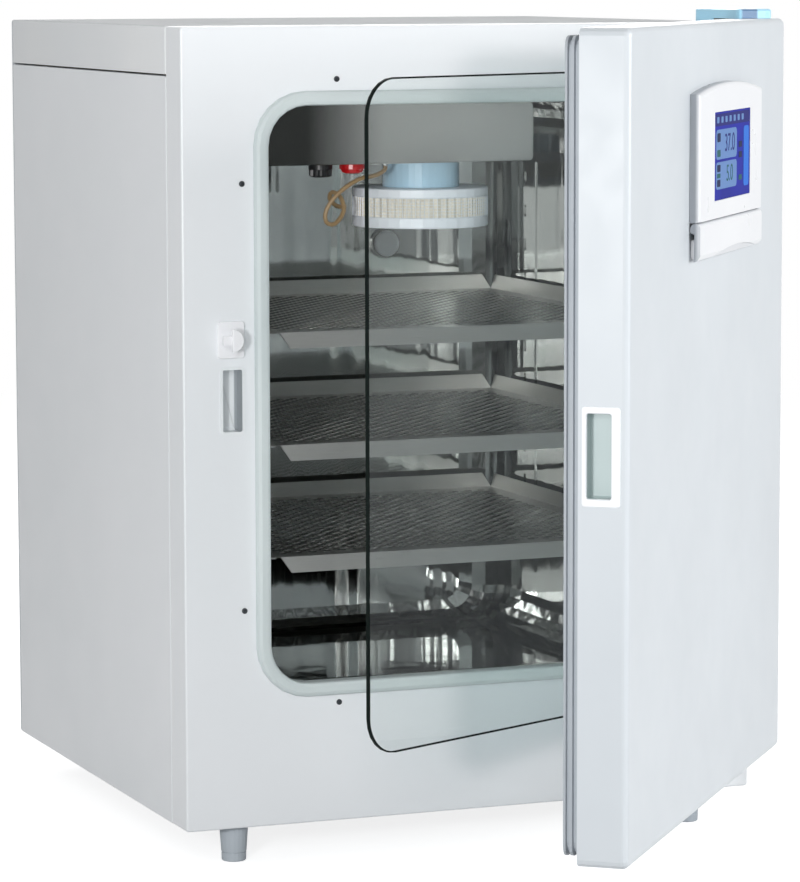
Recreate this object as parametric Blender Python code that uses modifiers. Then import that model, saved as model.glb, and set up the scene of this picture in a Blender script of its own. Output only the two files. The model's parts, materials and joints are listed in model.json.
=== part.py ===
"""Carbon dioxide incubator: a bench cabinet with an outer door and an inner glass door.

Metres. +X is to the viewer's right, +Y runs from the front to the back of the cabinet and +Z is up.
Every size below is counted from the cabinet's front left bottom corner, with both doors shut.
Each door hangs on an empty at its hinge axis, and that empty is turned to the door's open angle.
"""

import math

import bmesh
import bpy
from mathutils import Vector

# sheet, and the gaps between pieces
SHEET = 0.0015
GAP = 0.0003
SEAM = 0.002
REAR_GAP = 0.0005
FOLD_R = 0.002
SHARP = math.radians(35)

# cabinet
BODY_W = 0.700
BODY_D = 0.660
BODY_H = 0.900
BODY_CORNER = 0.003
FRONT_WRAP = 0.050
TOP_COVER_H = 0.053
SIDE_FLANGE = 0.012
BASE_FLANGE = 0.018

# feet
FOOT_H = 0.042
FOOT_R_TOP = 0.0165
FOOT_R_END = 0.0140
FOOT_IN_X = 0.066
FOOT_IN_BACK = 0.092
FOOT_IN_Y = 0.030

# chamber
SIDE_WALL = 0.100
TOP_WALL = 0.088
BACK_WALL = 0.110
SILL_Z = 0.162
BASIN_DEPTH = 0.032
CHAMBER_R = 0.045
COVE_R = 0.024
LINER_T = 0.0015
LINER_FIT = 0.0005
FOAM_GAP = 0.0015
FOAM_BACK = 0.018
CHAMBER_X = (SIDE_WALL, BODY_W - SIDE_WALL)
CHAMBER_BACK = BODY_D - BACK_WALL
CEILING_Z = BODY_H - TOP_WALL
FLOOR_Z = SILL_Z - BASIN_DEPTH
WELL = LINER_T + LINER_FIT
JACKET_TOP = BODY_H - TOP_COVER_H - SEAM - REAR_GAP

# trim round the opening, which the glass closes on
TRIM_W = 0.016
TRIM_PROUD = 0.0095
TRIM_LIP = 0.010

# outer door, shut
DOOR_LOW = 0.055
DOOR_RISE = 0.005
DOOR_STANDOFF = 0.020
DOOR_T = 0.053
DOOR_ROUND = 0.007
DOOR_CORNER = 0.008
DOOR_OPEN = math.radians(50.5)
PIN_IN = 0.022
PIN_AHEAD = 0.018
PIN_R = 0.004
PIN_CLEAR = 0.0005
PIN_L = 0.015
GASKET_IN = 0.008
GASKET_W = 0.021
GASKET_GROOVE = 0.0035
DISH_IN = 0.034
DISH_DEPTH = 0.0105
DISH_R = 0.025
DOOR_BACK = -DOOR_STANDOFF
DOOR_FRONT = DOOR_BACK - DOOR_T
DOOR_Z = (DOOR_LOW, BODY_H + DOOR_RISE)
DOOR_PIN = (BODY_W - PIN_IN, DOOR_BACK - PIN_AHEAD)
DOOR_EDGE = SHEET + GAP
DISH = DOOR_BACK - DISH_DEPTH

# glass door, shut
GLASS_T = 0.005
GLASS_R = 0.042
GLASS_CHAMFER = 0.0008
GLASS_PAST_LEFT = 0.034
GLASS_PAST_RIGHT = 0.0275
GLASS_PAST_LOW = 0.039
GLASS_PAST_TOP = 0.037
GLASS_PIN_OUT = 0.0045
GLASS_PIN_R = 0.0016
GLASS_OPEN = math.radians(25.2)
HINGE_IN_LOW = 0.073
HINGE_IN_TOP = 0.075
CLAMP_H = 0.044
CLAMP_T = 0.0018
CLAMP_FRONT_W = 0.030
CLAMP_BACK_W = 0.0145
CLAMP_WEB = 0.0055
LUG_R = 0.0038
LUG_T = 0.0050
LUG_OUT = 0.006
GLASS_X = (CHAMBER_X[0] - GLASS_PAST_LEFT, CHAMBER_X[1] + GLASS_PAST_RIGHT)
GLASS_Z = (SILL_Z - GLASS_PAST_LOW, CEILING_Z + GLASS_PAST_TOP)
GLASS_BACK = -TRIM_PROUD - GAP
GLASS_FRONT = GLASS_BACK - GLASS_T
GLASS_AXIS = (GLASS_X[1] + GLASS_PIN_OUT, GLASS_BACK - GLASS_T / 2)
GLASS_HINGE_Z = (SILL_Z + HINGE_IN_LOW, CEILING_Z - HINGE_IN_TOP)

# catch for the glass, and the recess below it
CATCH_OFF = 0.012
CATCH_UP = 0.3925
CATCH_PLATE = (0.0136, 0.0172, 0.0215, 0.0195)
CATCH_PLATE_T = 0.004
CATCH_R = 0.013
CATCH_TONGUE = 0.0145
CATCH_CLEAR = 0.0044
KNOB_T = 0.0048
TONGUE_T = 0.003
STEM_R = 0.0042
RECESS_W = 0.0255
RECESS_H = 0.072
RECESS_DEPTH = 0.022
RECESS_WALL = 0.0012
RECESS_RIM = 0.0018
RECESS_LEFT = 0.009
RECESS_BELOW = 0.012
CATCH = (GLASS_X[0] - CATCH_OFF, SILL_Z + CATCH_UP)
RECESS_TOP = CATCH[1] - CATCH_PLATE[2] - RECESS_BELOW
RECESS = (CATCH[0] - RECESS_LEFT, CATCH[0] - RECESS_LEFT + RECESS_W, RECESS_TOP - RECESS_H, RECESS_TOP)

# control panel on the outer door
PANEL_IN = 0.245
PANEL_W = 0.290
PANEL_UP = 0.6415
PANEL_H = 0.135
PANEL_ARCH = 0.010
PANEL_T = 0.012
PANEL_ROUND = 0.005
SCREEN_IN = 0.064
SCREEN_W = 0.165
SCREEN_UP = 0.020
SCREEN_H = 0.0938
SCREEN_SUNK = 0.0004
SCREEN_T = 0.0015
FLAP_H = 0.040
FLAP_R = 0.0055
FLAP_T = 0.0065
FLAP_SEAM = 0.0005
FLAP_FINGER = 0.0035
FLAP_ARC_R = 0.70
FLAP_ARC_UP = 0.0085
PANEL_X = (PANEL_IN, PANEL_IN + PANEL_W)
PANEL_Z = (DOOR_LOW + PANEL_UP, DOOR_LOW + PANEL_UP + PANEL_H)
PANEL_FRONT = DOOR_FRONT - PANEL_T
SCREEN_X = (PANEL_X[0] + SCREEN_IN, PANEL_X[0] + SCREEN_IN + SCREEN_W)
SCREEN_Z = (PANEL_Z[0] + SCREEN_UP, PANEL_Z[0] + SCREEN_UP + SCREEN_H)
FLAP_Z = (PANEL_Z[0] - FLAP_SEAM - FLAP_H, PANEL_Z[0] - FLAP_SEAM)
FLAP_AXIS = (sum(PANEL_X) / 2, PANEL_FRONT + FLAP_R, FLAP_Z[1] - FLAP_R)
SOCKET_X = 0.055
SOCKET_W = 0.0135
SOCKET_H = 0.0055
PLATE_CLEAR = 0.0008

# grip pocket in the outer door's free edge
GRIP_FRONT = 0.0087
GRIP_W = 0.0403
GRIP_UP = 0.3705
GRIP_H = 0.1015
GRIP_DEPTH = 0.019
GRIP_WALL = 0.0018
GRIP_LIP = 0.0013
GRIP_RIM = (0.0095, 0.0050, 0.0080, 0.0070)
GRIP_Y = (DOOR_FRONT + GRIP_FRONT, DOOR_FRONT + GRIP_FRONT + GRIP_W)
GRIP_Z = (DOOR_LOW + GRIP_UP, DOOR_LOW + GRIP_UP + GRIP_H)

# hinges and their cap
ARM_LEFT = 0.030
ARM_RIGHT = 0.012
ARM_AHEAD = 0.020
ARM_T = 0.003
ARM_CLEAR = 0.0012
BRACKET_BACK = 0.042
BRACKET_DROP = 0.0398
RISER_Y = 0.012
RISER_T = 0.0045
HINGE_CAP_LEFT = 0.040
HINGE_CAP_RIGHT = 0.0165
HINGE_CAP_AHEAD = 0.028
HINGE_CAP_BACK = 0.048
HINGE_CAP_H = 0.0185
HINGE_CAP_T = 0.002
HINGE_CAP_ROUND = 0.0025
HINGE_CAP_OVER = 0.001
ARM_X = (DOOR_PIN[0] - ARM_LEFT, DOOR_PIN[0] + ARM_RIGHT)
ARM_Z = (DOOR_Z[1] + ARM_CLEAR, DOOR_Z[1] + ARM_CLEAR + ARM_T)
ARM_TOP_LOW = DOOR_Z[0] - ARM_CLEAR
ARM_FRONT = DOOR_PIN[1] - ARM_AHEAD

# shelves, and the racks that hold them
SHELF_COUNT = 3
SHELF_FIRST = 0.1395
SHELF_PITCH = 0.1275
SHELF_SIDE = 0.012
SHELF_FRONT = 0.030
SHELF_BACK = 0.028
SHELF_T = 0.0012
SHELF_WALL = 0.018
SHELF_LIP = 0.0185
SHELF_CORNER = 0.013
SHELF_NOTCH = 0.012
RACK_T = 0.0015
RACK_POST_W = (0.035, 0.060)
RACK_POST_IN = 0.050
RACK_POST_BACK = 0.085
RACK_FOOT = 0.043
RACK_HEAD = 0.090
RACK_LEG_H = 0.012
RACK_LEG_T = 0.0012
RACK_LEDGE_IN = 0.010
RACK_REACH = (0.012, 0.020)
RACK_SET_OFF = 0.0007
SHELF_X = (CHAMBER_X[0] + SHELF_SIDE, CHAMBER_X[1] - SHELF_SIDE)
SHELF_Y = (SHELF_FRONT, CHAMBER_BACK - SHELF_BACK)
SHELF_Z = [SILL_Z + SHELF_FIRST + SHELF_PITCH * n for n in range(SHELF_COUNT)]
RACK_Z = (SILL_Z + RACK_FOOT, CEILING_Z - RACK_HEAD)
BACK_POST = CHAMBER_BACK - RACK_POST_BACK
RACK_POSTS = (
    (RACK_POST_IN, RACK_POST_IN + RACK_POST_W[0]),
    (BACK_POST - RACK_POST_W[1], BACK_POST),
)

# plenum with its fan and filter
PLENUM_LEFT = 0.008
PLENUM_W = 0.339
PLENUM_H = 0.070
PLENUM_FRONT = 0.060
PLENUM_BACK = 0.050
PLENUM_R = 0.006
FAN_IN = 0.250
FAN_Y = 0.169
NECK_R = 0.0450
NECK_BORE = 0.0395
NECK_H = 0.0325
FILTER_R = 0.0787
FILTER_BORE = 0.052
FILTER_CAP_H = 0.0105
FILTER_END_H = 0.0125
MEDIA_H = 0.0225
PLEATS = 50
PLEAT_DEPTH = 0.003
PLEAT_IN = 0.0012
ROTOR_R = 0.055
ROTOR_H = 0.030
ROTOR_UP = 0.010
ROTOR_HUB = 0.014
BLADES = 9
BLADE_T = 0.0014
BLADE_IN = 0.024
SHAFT_R = 0.004
SHAFT_HOLE = 0.003
MOTOR_R = 0.038
MOTOR_H = 0.030
FAN_XY = (CHAMBER_X[0] + FAN_IN, FAN_Y)
PLENUM_LOW = CEILING_Z - PLENUM_H
PLENUM = (CHAMBER_X[0] + PLENUM_LEFT, CHAMBER_X[0] + PLENUM_LEFT + PLENUM_W, PLENUM_LOW, CEILING_Z - GAP)
PLENUM_Y = (PLENUM_FRONT, CHAMBER_BACK - PLENUM_BACK)
FILTER_TOP = PLENUM_LOW - NECK_H
MEDIA_TOP = FILTER_TOP - FILTER_CAP_H
MEDIA_LOW = MEDIA_TOP - MEDIA_H
FILTER_LOW = MEDIA_LOW - FILTER_END_H
ROTOR_Z = (PLENUM_LOW + ROTOR_UP, PLENUM_LOW + ROTOR_UP + ROTOR_H)
MOTOR_Z = (JACKET_TOP + FOAM_GAP, JACKET_TOP + FOAM_GAP + MOTOR_H)

# small pieces under the plenum, counted from its left front lower edge
GUARD_AT = (0.0927, 0.040)
GUARD_R = 0.0134
GUARD_H = 0.0156
GUARD_NOTCH = 0.0022
RED_CAP_AT = (0.1315, 0.040)
RED_CAP_R = 0.0147
RED_CAP_H = 0.0120
TUBE_R = 0.0026
TUBE_AT = (0.1805, 0.065)
TUBE_FITTING_R = 0.0050
TUBE_FITTING_H = 0.0050

# rear
PORT_IN = 0.3536
PORT_UP = 0.4540
PORT_R = 0.0160
PORT_WALL = 0.002
PORT_FLANGE = 0.027
PORT_COLLAR = 0.0035
LOUVRES = 6
LOUVRE_TOP = 0.100
LOUVRE_PITCH = 0.014
LOUVRE_W = 0.110
LOUVRE_H = 0.005
LOUVRE_X = (0.080, 0.230)
INLET_IN = 0.105
INLET_W = 0.050
INLET_Z = 0.060
INLET_H = 0.028
INLET_T = 0.009
GAS_IN = 0.080
GAS_DOWN = 0.120
PORT = (CHAMBER_X[0] + PORT_IN, SILL_Z + PORT_UP)


for old in list(bpy.data.objects):
    bpy.data.objects.remove(old, do_unlink=True)

incubator = bpy.data.collections.new("carbon_dioxide_incubator")
cutters = bpy.data.collections.new("cutters")
for made in (incubator, cutters):
    bpy.context.scene.collection.children.link(made)
cutters.hide_render = True


def material(name, colour, roughness, metallic=0.0, transmission=0.0):
    made = bpy.data.materials.new(name)
    made.use_nodes = True
    shader = made.node_tree.nodes["Principled BSDF"]
    shader.inputs["Base Color"].default_value = (*colour, 1.0)
    shader.inputs["Roughness"].default_value = roughness
    shader.inputs["Metallic"].default_value = metallic
    shader.inputs["Transmission Weight"].default_value = transmission
    made.diffuse_color = (*colour, 1.0)
    return made


WHITE = material("white_powder_coat", (0.80, 0.83, 0.86), 0.45)
GREY = material("grey_powder_coat", (0.58, 0.60, 0.62), 0.5)
STEEL = material("stainless_steel", (0.42, 0.42, 0.41), 0.2, 1.0)
SATIN = material("brushed_stainless_steel", (0.48, 0.48, 0.46), 0.35, 1.0)
ZINC = material("zinc_plated_steel", (0.55, 0.55, 0.53), 0.35, 1.0)
ALUMINIUM = material("cast_aluminium", (0.55, 0.56, 0.57), 0.4, 1.0)
FOAM = material("polyurethane_foam", (0.80, 0.74, 0.50), 0.9)
TRIM = material("silicone_trim", (0.58, 0.67, 0.69), 0.5)
SEAL = material("grey_door_seal", (0.50, 0.52, 0.54), 0.55)
GLASS = material("tempered_glass", (0.80, 0.92, 0.90), 0.02, 0.0, 0.95)
ABS = material("white_abs", (0.82, 0.83, 0.85), 0.35)
RUBBER = material("grey_rubber", (0.30, 0.32, 0.34), 0.6)
BLACK = material("black_plastic", (0.02, 0.02, 0.02), 0.45)
RED = material("red_plastic", (0.50, 0.01, 0.02), 0.35)
BLUE = material("blue_plastic", (0.20, 0.45, 0.75), 0.35)
CYAN = material("cyan_plastic", (0.25, 0.62, 0.85), 0.35)
CAP = material("filter_cap_plastic", (0.70, 0.78, 0.90), 0.4)
PAPER = material("glass_fibre_paper", (0.78, 0.72, 0.58), 0.9)
SILICONE = material("amber_silicone", (0.42, 0.33, 0.20), 0.4)
SCREEN = material("display_glass", (0.03, 0.05, 0.35), 0.15)


def empty(name, location, turn=0.0, parent=None):
    made = bpy.data.objects.new(name, None)
    incubator.objects.link(made)
    made.empty_display_size = 0.05
    made["axis"] = location
    start = Vector(parent["axis"]) if parent else Vector()
    made.parent = parent
    made.location = Vector(location) - start
    made.rotation_euler = (0.0, 0.0, turn)
    return made


root = empty("incubator", (0.0, 0.0, 0.0))
door_axis = empty("outer_door_axis", (*DOOR_PIN, 0.0), DOOR_OPEN, root)
glass_axis = empty("glass_door_axis", (*GLASS_AXIS, 0.0), GLASS_OPEN, root)
flap_axis = empty("panel_flap_axis", FLAP_AXIS, 0.0, door_axis)
catch_axis = empty("catch_axis", (CATCH[0], 0.0, CATCH[1]), 0.0, root)
fan_axis = empty("fan_axis", (*FAN_XY, 0.0), 0.0, root)


def place(name, data, look, axis, location=(0.0, 0.0, 0.0)):
    """An object of the model on its axis. Without a look it is a cutter, or joins another object."""
    made = bpy.data.objects.new(name, data)
    made.parent = axis
    made.location = location
    if look is None:
        cutters.objects.link(made)
        made.hide_render = True
        made.display_type = "WIRE"
    else:
        incubator.objects.link(made)
        data.materials.append(look)
    return made


def finish(name, shape, look, axis):
    """A bmesh whose points are counted with the doors shut becomes an object."""
    bmesh.ops.translate(shape, vec=-Vector(axis["axis"]), verts=shape.verts)
    mesh = bpy.data.meshes.new(name)
    shape.to_mesh(mesh)
    shape.free()
    mesh.shade_smooth()
    mesh.set_sharp_from_angle(angle=SHARP)
    return place(name, mesh, look, axis)


def in_xy(outline, z):
    return [(a, b, z) for a, b in outline]


def in_xz(outline, y):
    return [(a, y, b) for a, b in outline]


def in_yz(outline, x):
    return [(x, a, b) for a, b in outline]


def rounded(a0, a1, b0, b1, r=0.0, parts=4):
    """A rectangle's outline. r is one radius, or four, from the low corner anticlockwise."""
    radii = (r,) * 4 if isinstance(r, (int, float)) else r
    outline = []
    corners = ((a0, b0, 1, 1), (a1, b0, -1, 1), (a1, b1, -1, -1), (a0, b1, 1, -1))
    for n, (a, b, sa, sb) in enumerate(corners):
        if radii[n] <= 0:
            outline.append((a, b))
            continue
        for k in range(parts + 1):
            angle = math.pi * (1 + n / 2) + math.pi / 2 * k / parts
            across = radii[n] * (sa + math.cos(angle))
            along = radii[n] * (sb + math.sin(angle))
            outline.append((a + across, b + along))
    return outline


def circle(a, b, r, parts=24):
    turn = 2 * math.pi / parts
    return [(a + r * math.cos(turn * k), b + r * math.sin(turn * k)) for k in range(parts)]


def inset(outline, d):
    """The outline moved inward by d, with as many points."""
    moved = []
    for n, here in enumerate(outline):
        before, after = Vector(outline[n - 1]), Vector(outline[(n + 1) % len(outline)])
        here = Vector(here)
        one, two = (here - before).normalized(), (after - here).normalized()
        normal = Vector((-one.y - two.y, one.x + two.x)).normalized()
        moved.append(here + normal * d / max(0.3, normal.dot(Vector((-one.y, one.x)))))
    return [(p.x, p.y) for p in moved]


def box(name, x, y, z, look=None, axis=root):
    shape = bmesh.new()
    bmesh.ops.create_cube(shape, size=1.0)
    bmesh.ops.scale(shape, vec=(x[1] - x[0], y[1] - y[0], z[1] - z[0]), verts=shape.verts)
    bmesh.ops.translate(shape, vec=Vector((sum(x), sum(y), sum(z))) / 2, verts=shape.verts)
    return finish(name, shape, look, axis)


def loft(name, loops, look=None, axis=root, ends="both"):
    """A rim of edges extruded from each loop to the next, which all have as many points.

    Both ends are capped, or the last one only, and with ends "ring" the last rim meets the first.
    """
    shape = bmesh.new()
    corners = first = [shape.verts.new(p) for p in loops[0]]
    rim = start_rim = [shape.edges.new((corners[k - 1], corners[k])) for k in range(len(corners))]
    for loop in [*loops[1:], loops[0]] if ends == "ring" else loops[1:]:
        order = {tuple(corner.co): n for n, corner in enumerate(corners)}
        made = bmesh.ops.extrude_edge_only(shape, edges=rim)["geom"]
        corners = [item for item in made if isinstance(item, bmesh.types.BMVert)]
        corners.sort(key=lambda corner: order[tuple(corner.co)])
        rim = [item for item in made if isinstance(item, bmesh.types.BMEdge) and item.is_boundary]
        for corner, point in zip(corners, loop):
            corner.co = point
    if ends == "ring":
        bmesh.ops.remove_doubles(shape, verts=first + corners, dist=0.000001)
    capped = {"both": (start_rim, rim), "last": (rim,), "ring": ()}[ends]
    caps = [bmesh.ops.contextual_create(shape, geom=edges)["faces"][0] for edges in capped]
    bmesh.ops.recalc_face_normals(shape, faces=shape.faces)
    if ends == "last":
        mouth = sum((Vector(p) for p in loops[0]), Vector()) / len(loops[0])
        turned_in = caps[0].normal.dot(caps[0].calc_center_median() - mouth) < 0
    else:
        turned_in = shape.calc_volume(signed=True) < 0
    if turned_in:
        bmesh.ops.reverse_faces(shape, faces=shape.faces)
    return finish(name, shape, look, axis)


def slab(name, outline, plane, start, end, look=None, axis=root):
    """A flat outline extruded from start to end."""
    return loft(name, [plane(outline, start), plane(outline, end)], look, axis)


def walled(made, thickness, side=-1.0):
    """Gives an open surface its wall: on the inside, or with side 1.0 on the outside."""
    solid = made.modifiers.new("wall", "SOLIDIFY")
    solid.thickness = thickness
    solid.offset = side
    solid.use_even_offset = True
    return made


def pressed(name, outline, plane, edge, end, look, axis=root, r=FOLD_R, wall=SHEET, steps=2):
    """A sheet tray: the outline lies at edge, and its rim is bent with radius r and runs on to end."""
    way = 1 if end > edge else -1
    loops = [plane(outline, end)]
    for k in range(steps, -1, -1):
        a = math.pi / 2 * k / steps
        loops.append(plane(inset(outline, r * (1 - math.sin(a))), edge + way * r * (1 - math.cos(a))))
    return walled(loft(name, loops, look, axis, "last"), wall)


def turned(name, profile, centre, look=None, axis=root, along="z", parts=20, ring=False):
    """A profile of (radius, place along the axis), turned once round by a Screw."""
    points = list(profile) if ring else [(0.0, profile[0][1]), *profile, (0.0, profile[-1][1])]
    shifted = points[1:] + points[:1]
    if sum(r * next_h - next_r * h for (r, h), (next_r, next_h) in zip(points, shifted)) > 0:
        points.reverse()
    shape = bmesh.new()
    corners = [shape.verts.new((r, 0.0, h)) for r, h in points]
    ends = corners[1:] + corners[:1] if ring else corners[1:]
    for one, two in zip(corners, ends):
        shape.edges.new((one, two))
    mesh = bpy.data.meshes.new(name)
    shape.to_mesh(mesh)
    shape.free()
    start = (centre[0], centre[1], 0.0) if along == "z" else (centre[0], 0.0, centre[1])
    made = place(name, mesh, look, axis, Vector(start) - Vector(axis["axis"]))
    if along == "y":
        made.rotation_euler.x = -math.pi / 2
    screw = made.modifiers.new("turn", "SCREW")
    screw.steps = parts
    screw.render_steps = parts
    screw.use_merge_vertices = True
    screw.merge_threshold = 0.00001
    return made


def boolean(target, other, operation="DIFFERENCE"):
    made = target.modifiers.new(other.name, "BOOLEAN")
    made.operation = operation
    made.solver = "EXACT"
    made.object = other


def join(target, other):
    boolean(target, other, "UNION")


def cut_round(target, name, centre, r, start, end, along="z", axis=root, parts=24):
    boolean(target, turned(name, [(r, start), (r, end)], centre, None, axis, along, parts))


def grown(span, d):
    return (span[0] - d, span[1] + d)


# outer skin
opening = rounded(*CHAMBER_X, SILL_Z, CEILING_Z, CHAMBER_R, 6)
THROUGH = 0.01
face = rounded(0.0, BODY_W, 0.0, BODY_H, BODY_CORNER, 2)
front = pressed("front_frame", face, in_xz, 0.0, FRONT_WRAP, WHITE)
boolean(front, slab("opening_cut", inset(opening, -WELL), in_xz, -THROUGH, THROUGH))
boolean(
    front,
    box("recess_cut", grown(RECESS[:2], GAP), (-THROUGH, THROUGH), grown(RECESS[2:], GAP)),
)

SIDE_Y = (FRONT_WRAP + SEAM, BODY_D - SHEET - REAR_GAP)
side = rounded(*SIDE_Y, 0.0, BODY_H - TOP_COVER_H - SEAM, BODY_CORNER, 2)
pressed("side_panel_left", side, in_yz, 0.0, SIDE_FLANGE, WHITE)
pressed("side_panel_right", side, in_yz, BODY_W, BODY_W - SIDE_FLANGE, WHITE)
top = rounded(0.0, BODY_W, *SIDE_Y, BODY_CORNER, 2)
pressed("top_cover", top, in_xy, BODY_H, BODY_H - TOP_COVER_H, WHITE)
base_x = (SIDE_FLANGE + REAR_GAP, BODY_W - SIDE_FLANGE - REAR_GAP)
pressed("base_pan", rounded(*base_x, *SIDE_Y, BODY_CORNER, 2), in_xy, 0.0, BASE_FLANGE, GREY)

rear = rounded(0.0, BODY_W, 0.0, BODY_H, BODY_CORNER, 2)
panel = slab("rear_panel", rear, in_xz, BODY_D - SHEET, BODY_D, GREY)
rear_cut = (BODY_D - THROUGH, BODY_D + THROUGH)
for n in range(LOUVRES):
    z = BODY_H - LOUVRE_TOP - LOUVRE_PITCH * n
    for m, x in enumerate(LOUVRE_X):
        boolean(panel, box(f"louvre_{n}_{m}", (x, x + LOUVRE_W), rear_cut, (z, z + LOUVRE_H)))
cut_round(panel, "port_cut_rear", PORT, PORT_R + GAP, *rear_cut, "y")

foot = [
    (FOOT_R_END - 0.001, -FOOT_H),
    (FOOT_R_END, -FOOT_H + 0.001),
    (FOOT_R_END + 0.0002, -FOOT_H + 0.009),
    (FOOT_R_END - 0.0004, -FOOT_H + 0.0098),
    (FOOT_R_END + 0.0004, -FOOT_H + 0.0106),
    (FOOT_R_TOP, -0.0012),
    (FOOT_R_TOP - 0.0012, -GAP),
]
foot_rows = ((FOOT_IN_Y, FOOT_IN_X), (BODY_D - FOOT_IN_Y, FOOT_IN_BACK))
feet = [(x, y) for y, inward in foot_rows for x in (inward, BODY_W - inward)]
for n, spot in enumerate(feet):
    turned(f"foot_{n + 1}", foot, spot, RUBBER)


# chamber
def bend(y, r):
    """How far a wall has come in at depth y, where it turns into the back wall with radius r."""
    past = max(0.0, y - (CHAMBER_BACK - r))
    return r - math.sqrt(max(0.0, r * r - past * past))


def liner_loop(y, low):
    dx, dz = bend(y, CHAMBER_R), bend(y, COVE_R)
    corner = CHAMBER_R - dx / 2
    return in_xz(rounded(CHAMBER_X[0] + dx, CHAMBER_X[1] - dx, low + dz, CEILING_Z - dz, corner, 6), y)


start = TRIM_LIP + GAP
loops = [liner_loop(start, SILL_Z), liner_loop(start + 0.006, SILL_Z), liner_loop(start + 0.024, FLOOR_Z)]
for k in range(5):
    loops.append(liner_loop(CHAMBER_BACK - CHAMBER_R * (1 - math.sin(math.pi / 8 * k)), FLOOR_Z))
liner = walled(loft("chamber_liner", loops, STEEL, root, "last"), LINER_T, 1.0)
ceiling_cut = (CEILING_Z - THROUGH, CEILING_Z + THROUGH)
cut_round(liner, "shaft_cut_liner", FAN_XY, SHAFT_R + SHAFT_HOLE, *ceiling_cut, "z", root, 16)
back_cut = (CHAMBER_BACK - THROUGH, CHAMBER_BACK + THROUGH)
cut_round(liner, "port_cut_liner", PORT, PORT_R + GAP, *back_cut, "y")

section = (
    (0.0, TRIM_LIP),
    (0.0, -0.63 * TRIM_PROUD),
    (0.0012, -0.9 * TRIM_PROUD),
    (0.0040, -TRIM_PROUD),
    (TRIM_W - 0.0050, -TRIM_PROUD),
    (TRIM_W - 0.0015, -0.79 * TRIM_PROUD),
    (TRIM_W, -0.42 * TRIM_PROUD),
    (TRIM_W, -GAP),
    (WELL - GAP, -GAP),
    (WELL - GAP, TRIM_LIP),
)
loft("opening_trim", [in_xz(inset(opening, -d), y) for d, y in section], TRIM, root, "ring")

JACKET_Y = (SHEET + FOAM_GAP, BODY_D - SHEET - FOAM_BACK)
well = rounded(*grown(CHAMBER_X, WELL), FLOOR_Z - WELL, CEILING_Z + WELL, CHAMBER_R + WELL, 6)
shell = rounded(*grown(base_x, -FOAM_GAP), BASE_FLANGE + 0.006, JACKET_TOP, 0.010, 6)
hollow = [in_xz(well, JACKET_Y[0]), in_xz(well, CHAMBER_BACK + WELL)]
jacket = loft("insulation_jacket", [in_xz(shell, JACKET_Y[1]), in_xz(shell, JACKET_Y[0]), *hollow], FOAM)
recess_hole = [grown(RECESS[:2], 0.003), (-THROUGH, RECESS_DEPTH + 0.003), grown(RECESS[2:], 0.003)]
boolean(jacket, box("recess_cut_jacket", *recess_hole))
jacket_cut = (CEILING_Z - THROUGH, JACKET_TOP + THROUGH)
cut_round(jacket, "shaft_cut_jacket", FAN_XY, SHAFT_R + SHAFT_HOLE, *jacket_cut, "z", root, 16)
jacket_cut = (CHAMBER_BACK - THROUGH, BODY_D)
cut_round(jacket, "port_cut_jacket", PORT, PORT_R + GAP, *jacket_cut, "y")

# recess and catch on the front
pocket = rounded(*RECESS, 0.003, 2)
wall = inset(pocket, RECESS_WALL)
rim = inset(pocket, -RECESS_RIM)
loft(
    "finger_recess",
    [
        in_xz(inset(wall, 0.003), RECESS_DEPTH - RECESS_WALL),
        in_xz(wall, RECESS_DEPTH - 0.004),
        in_xz(wall, -RECESS_WALL),
        in_xz(rim, -RECESS_WALL),
        in_xz(rim, -GAP),
        in_xz(pocket, -GAP),
        in_xz(pocket, RECESS_DEPTH - 0.004),
        in_xz(inset(pocket, 0.003), RECESS_DEPTH),
    ],
    GREY,
)
left, right, below, above = CATCH_PLATE
plate = rounded(CATCH[0] - left, CATCH[0] + right, CATCH[1] - below, CATCH[1] + above, 0.003, 2)
plate_front = -CATCH_PLATE_T
plate_edge = [in_xz(inset(plate, 0.0006), plate_front), in_xz(plate, plate_front + 0.0006)]
loft("catch_plate", [*plate_edge, in_xz(plate, -GAP)], ABS)
TONGUE_BACK = GLASS_FRONT - CATCH_CLEAR
KNOB_BACK = TONGUE_BACK - TONGUE_T
KNOB_FRONT = KNOB_BACK - KNOB_T
half = []
for k in range(13):
    a = math.pi * (k / 12 - 0.5)
    half.append((CATCH[0] - 0.004 + CATCH_R * math.cos(a), CATCH[1] + CATCH_R * math.sin(a)))
knob_edge = [in_xz(inset(half, 0.0008), KNOB_FRONT), in_xz(half, KNOB_FRONT + 0.0008)]
knob = loft("catch_knob", [*knob_edge, in_xz(half, KNOB_BACK)], ABS, catch_axis)
tongue = rounded(CATCH[0] - CATCH_TONGUE, CATCH[0] + 0.005, CATCH[1] - 0.005, CATCH[1] + 0.005, 0.002, 2)
join(knob, slab("knob_tongue", tongue, in_xz, KNOB_BACK - 0.001, TONGUE_BACK, None, catch_axis))
stem = [(STEM_R, TONGUE_BACK - 0.001), (STEM_R, plate_front - GAP)]
join(knob, turned("knob_stem", stem, CATCH, None, catch_axis, "y", 16))


# outer door
def door_ring(d, r=0.0):
    """The door's outline moved in by d, with corner radius r, or the radius that follows the edge."""
    return rounded(d, BODY_W - d, DOOR_Z[0] + d, DOOR_Z[1] - d, r or max(0.003, DOOR_CORNER - d), 3)


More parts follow.
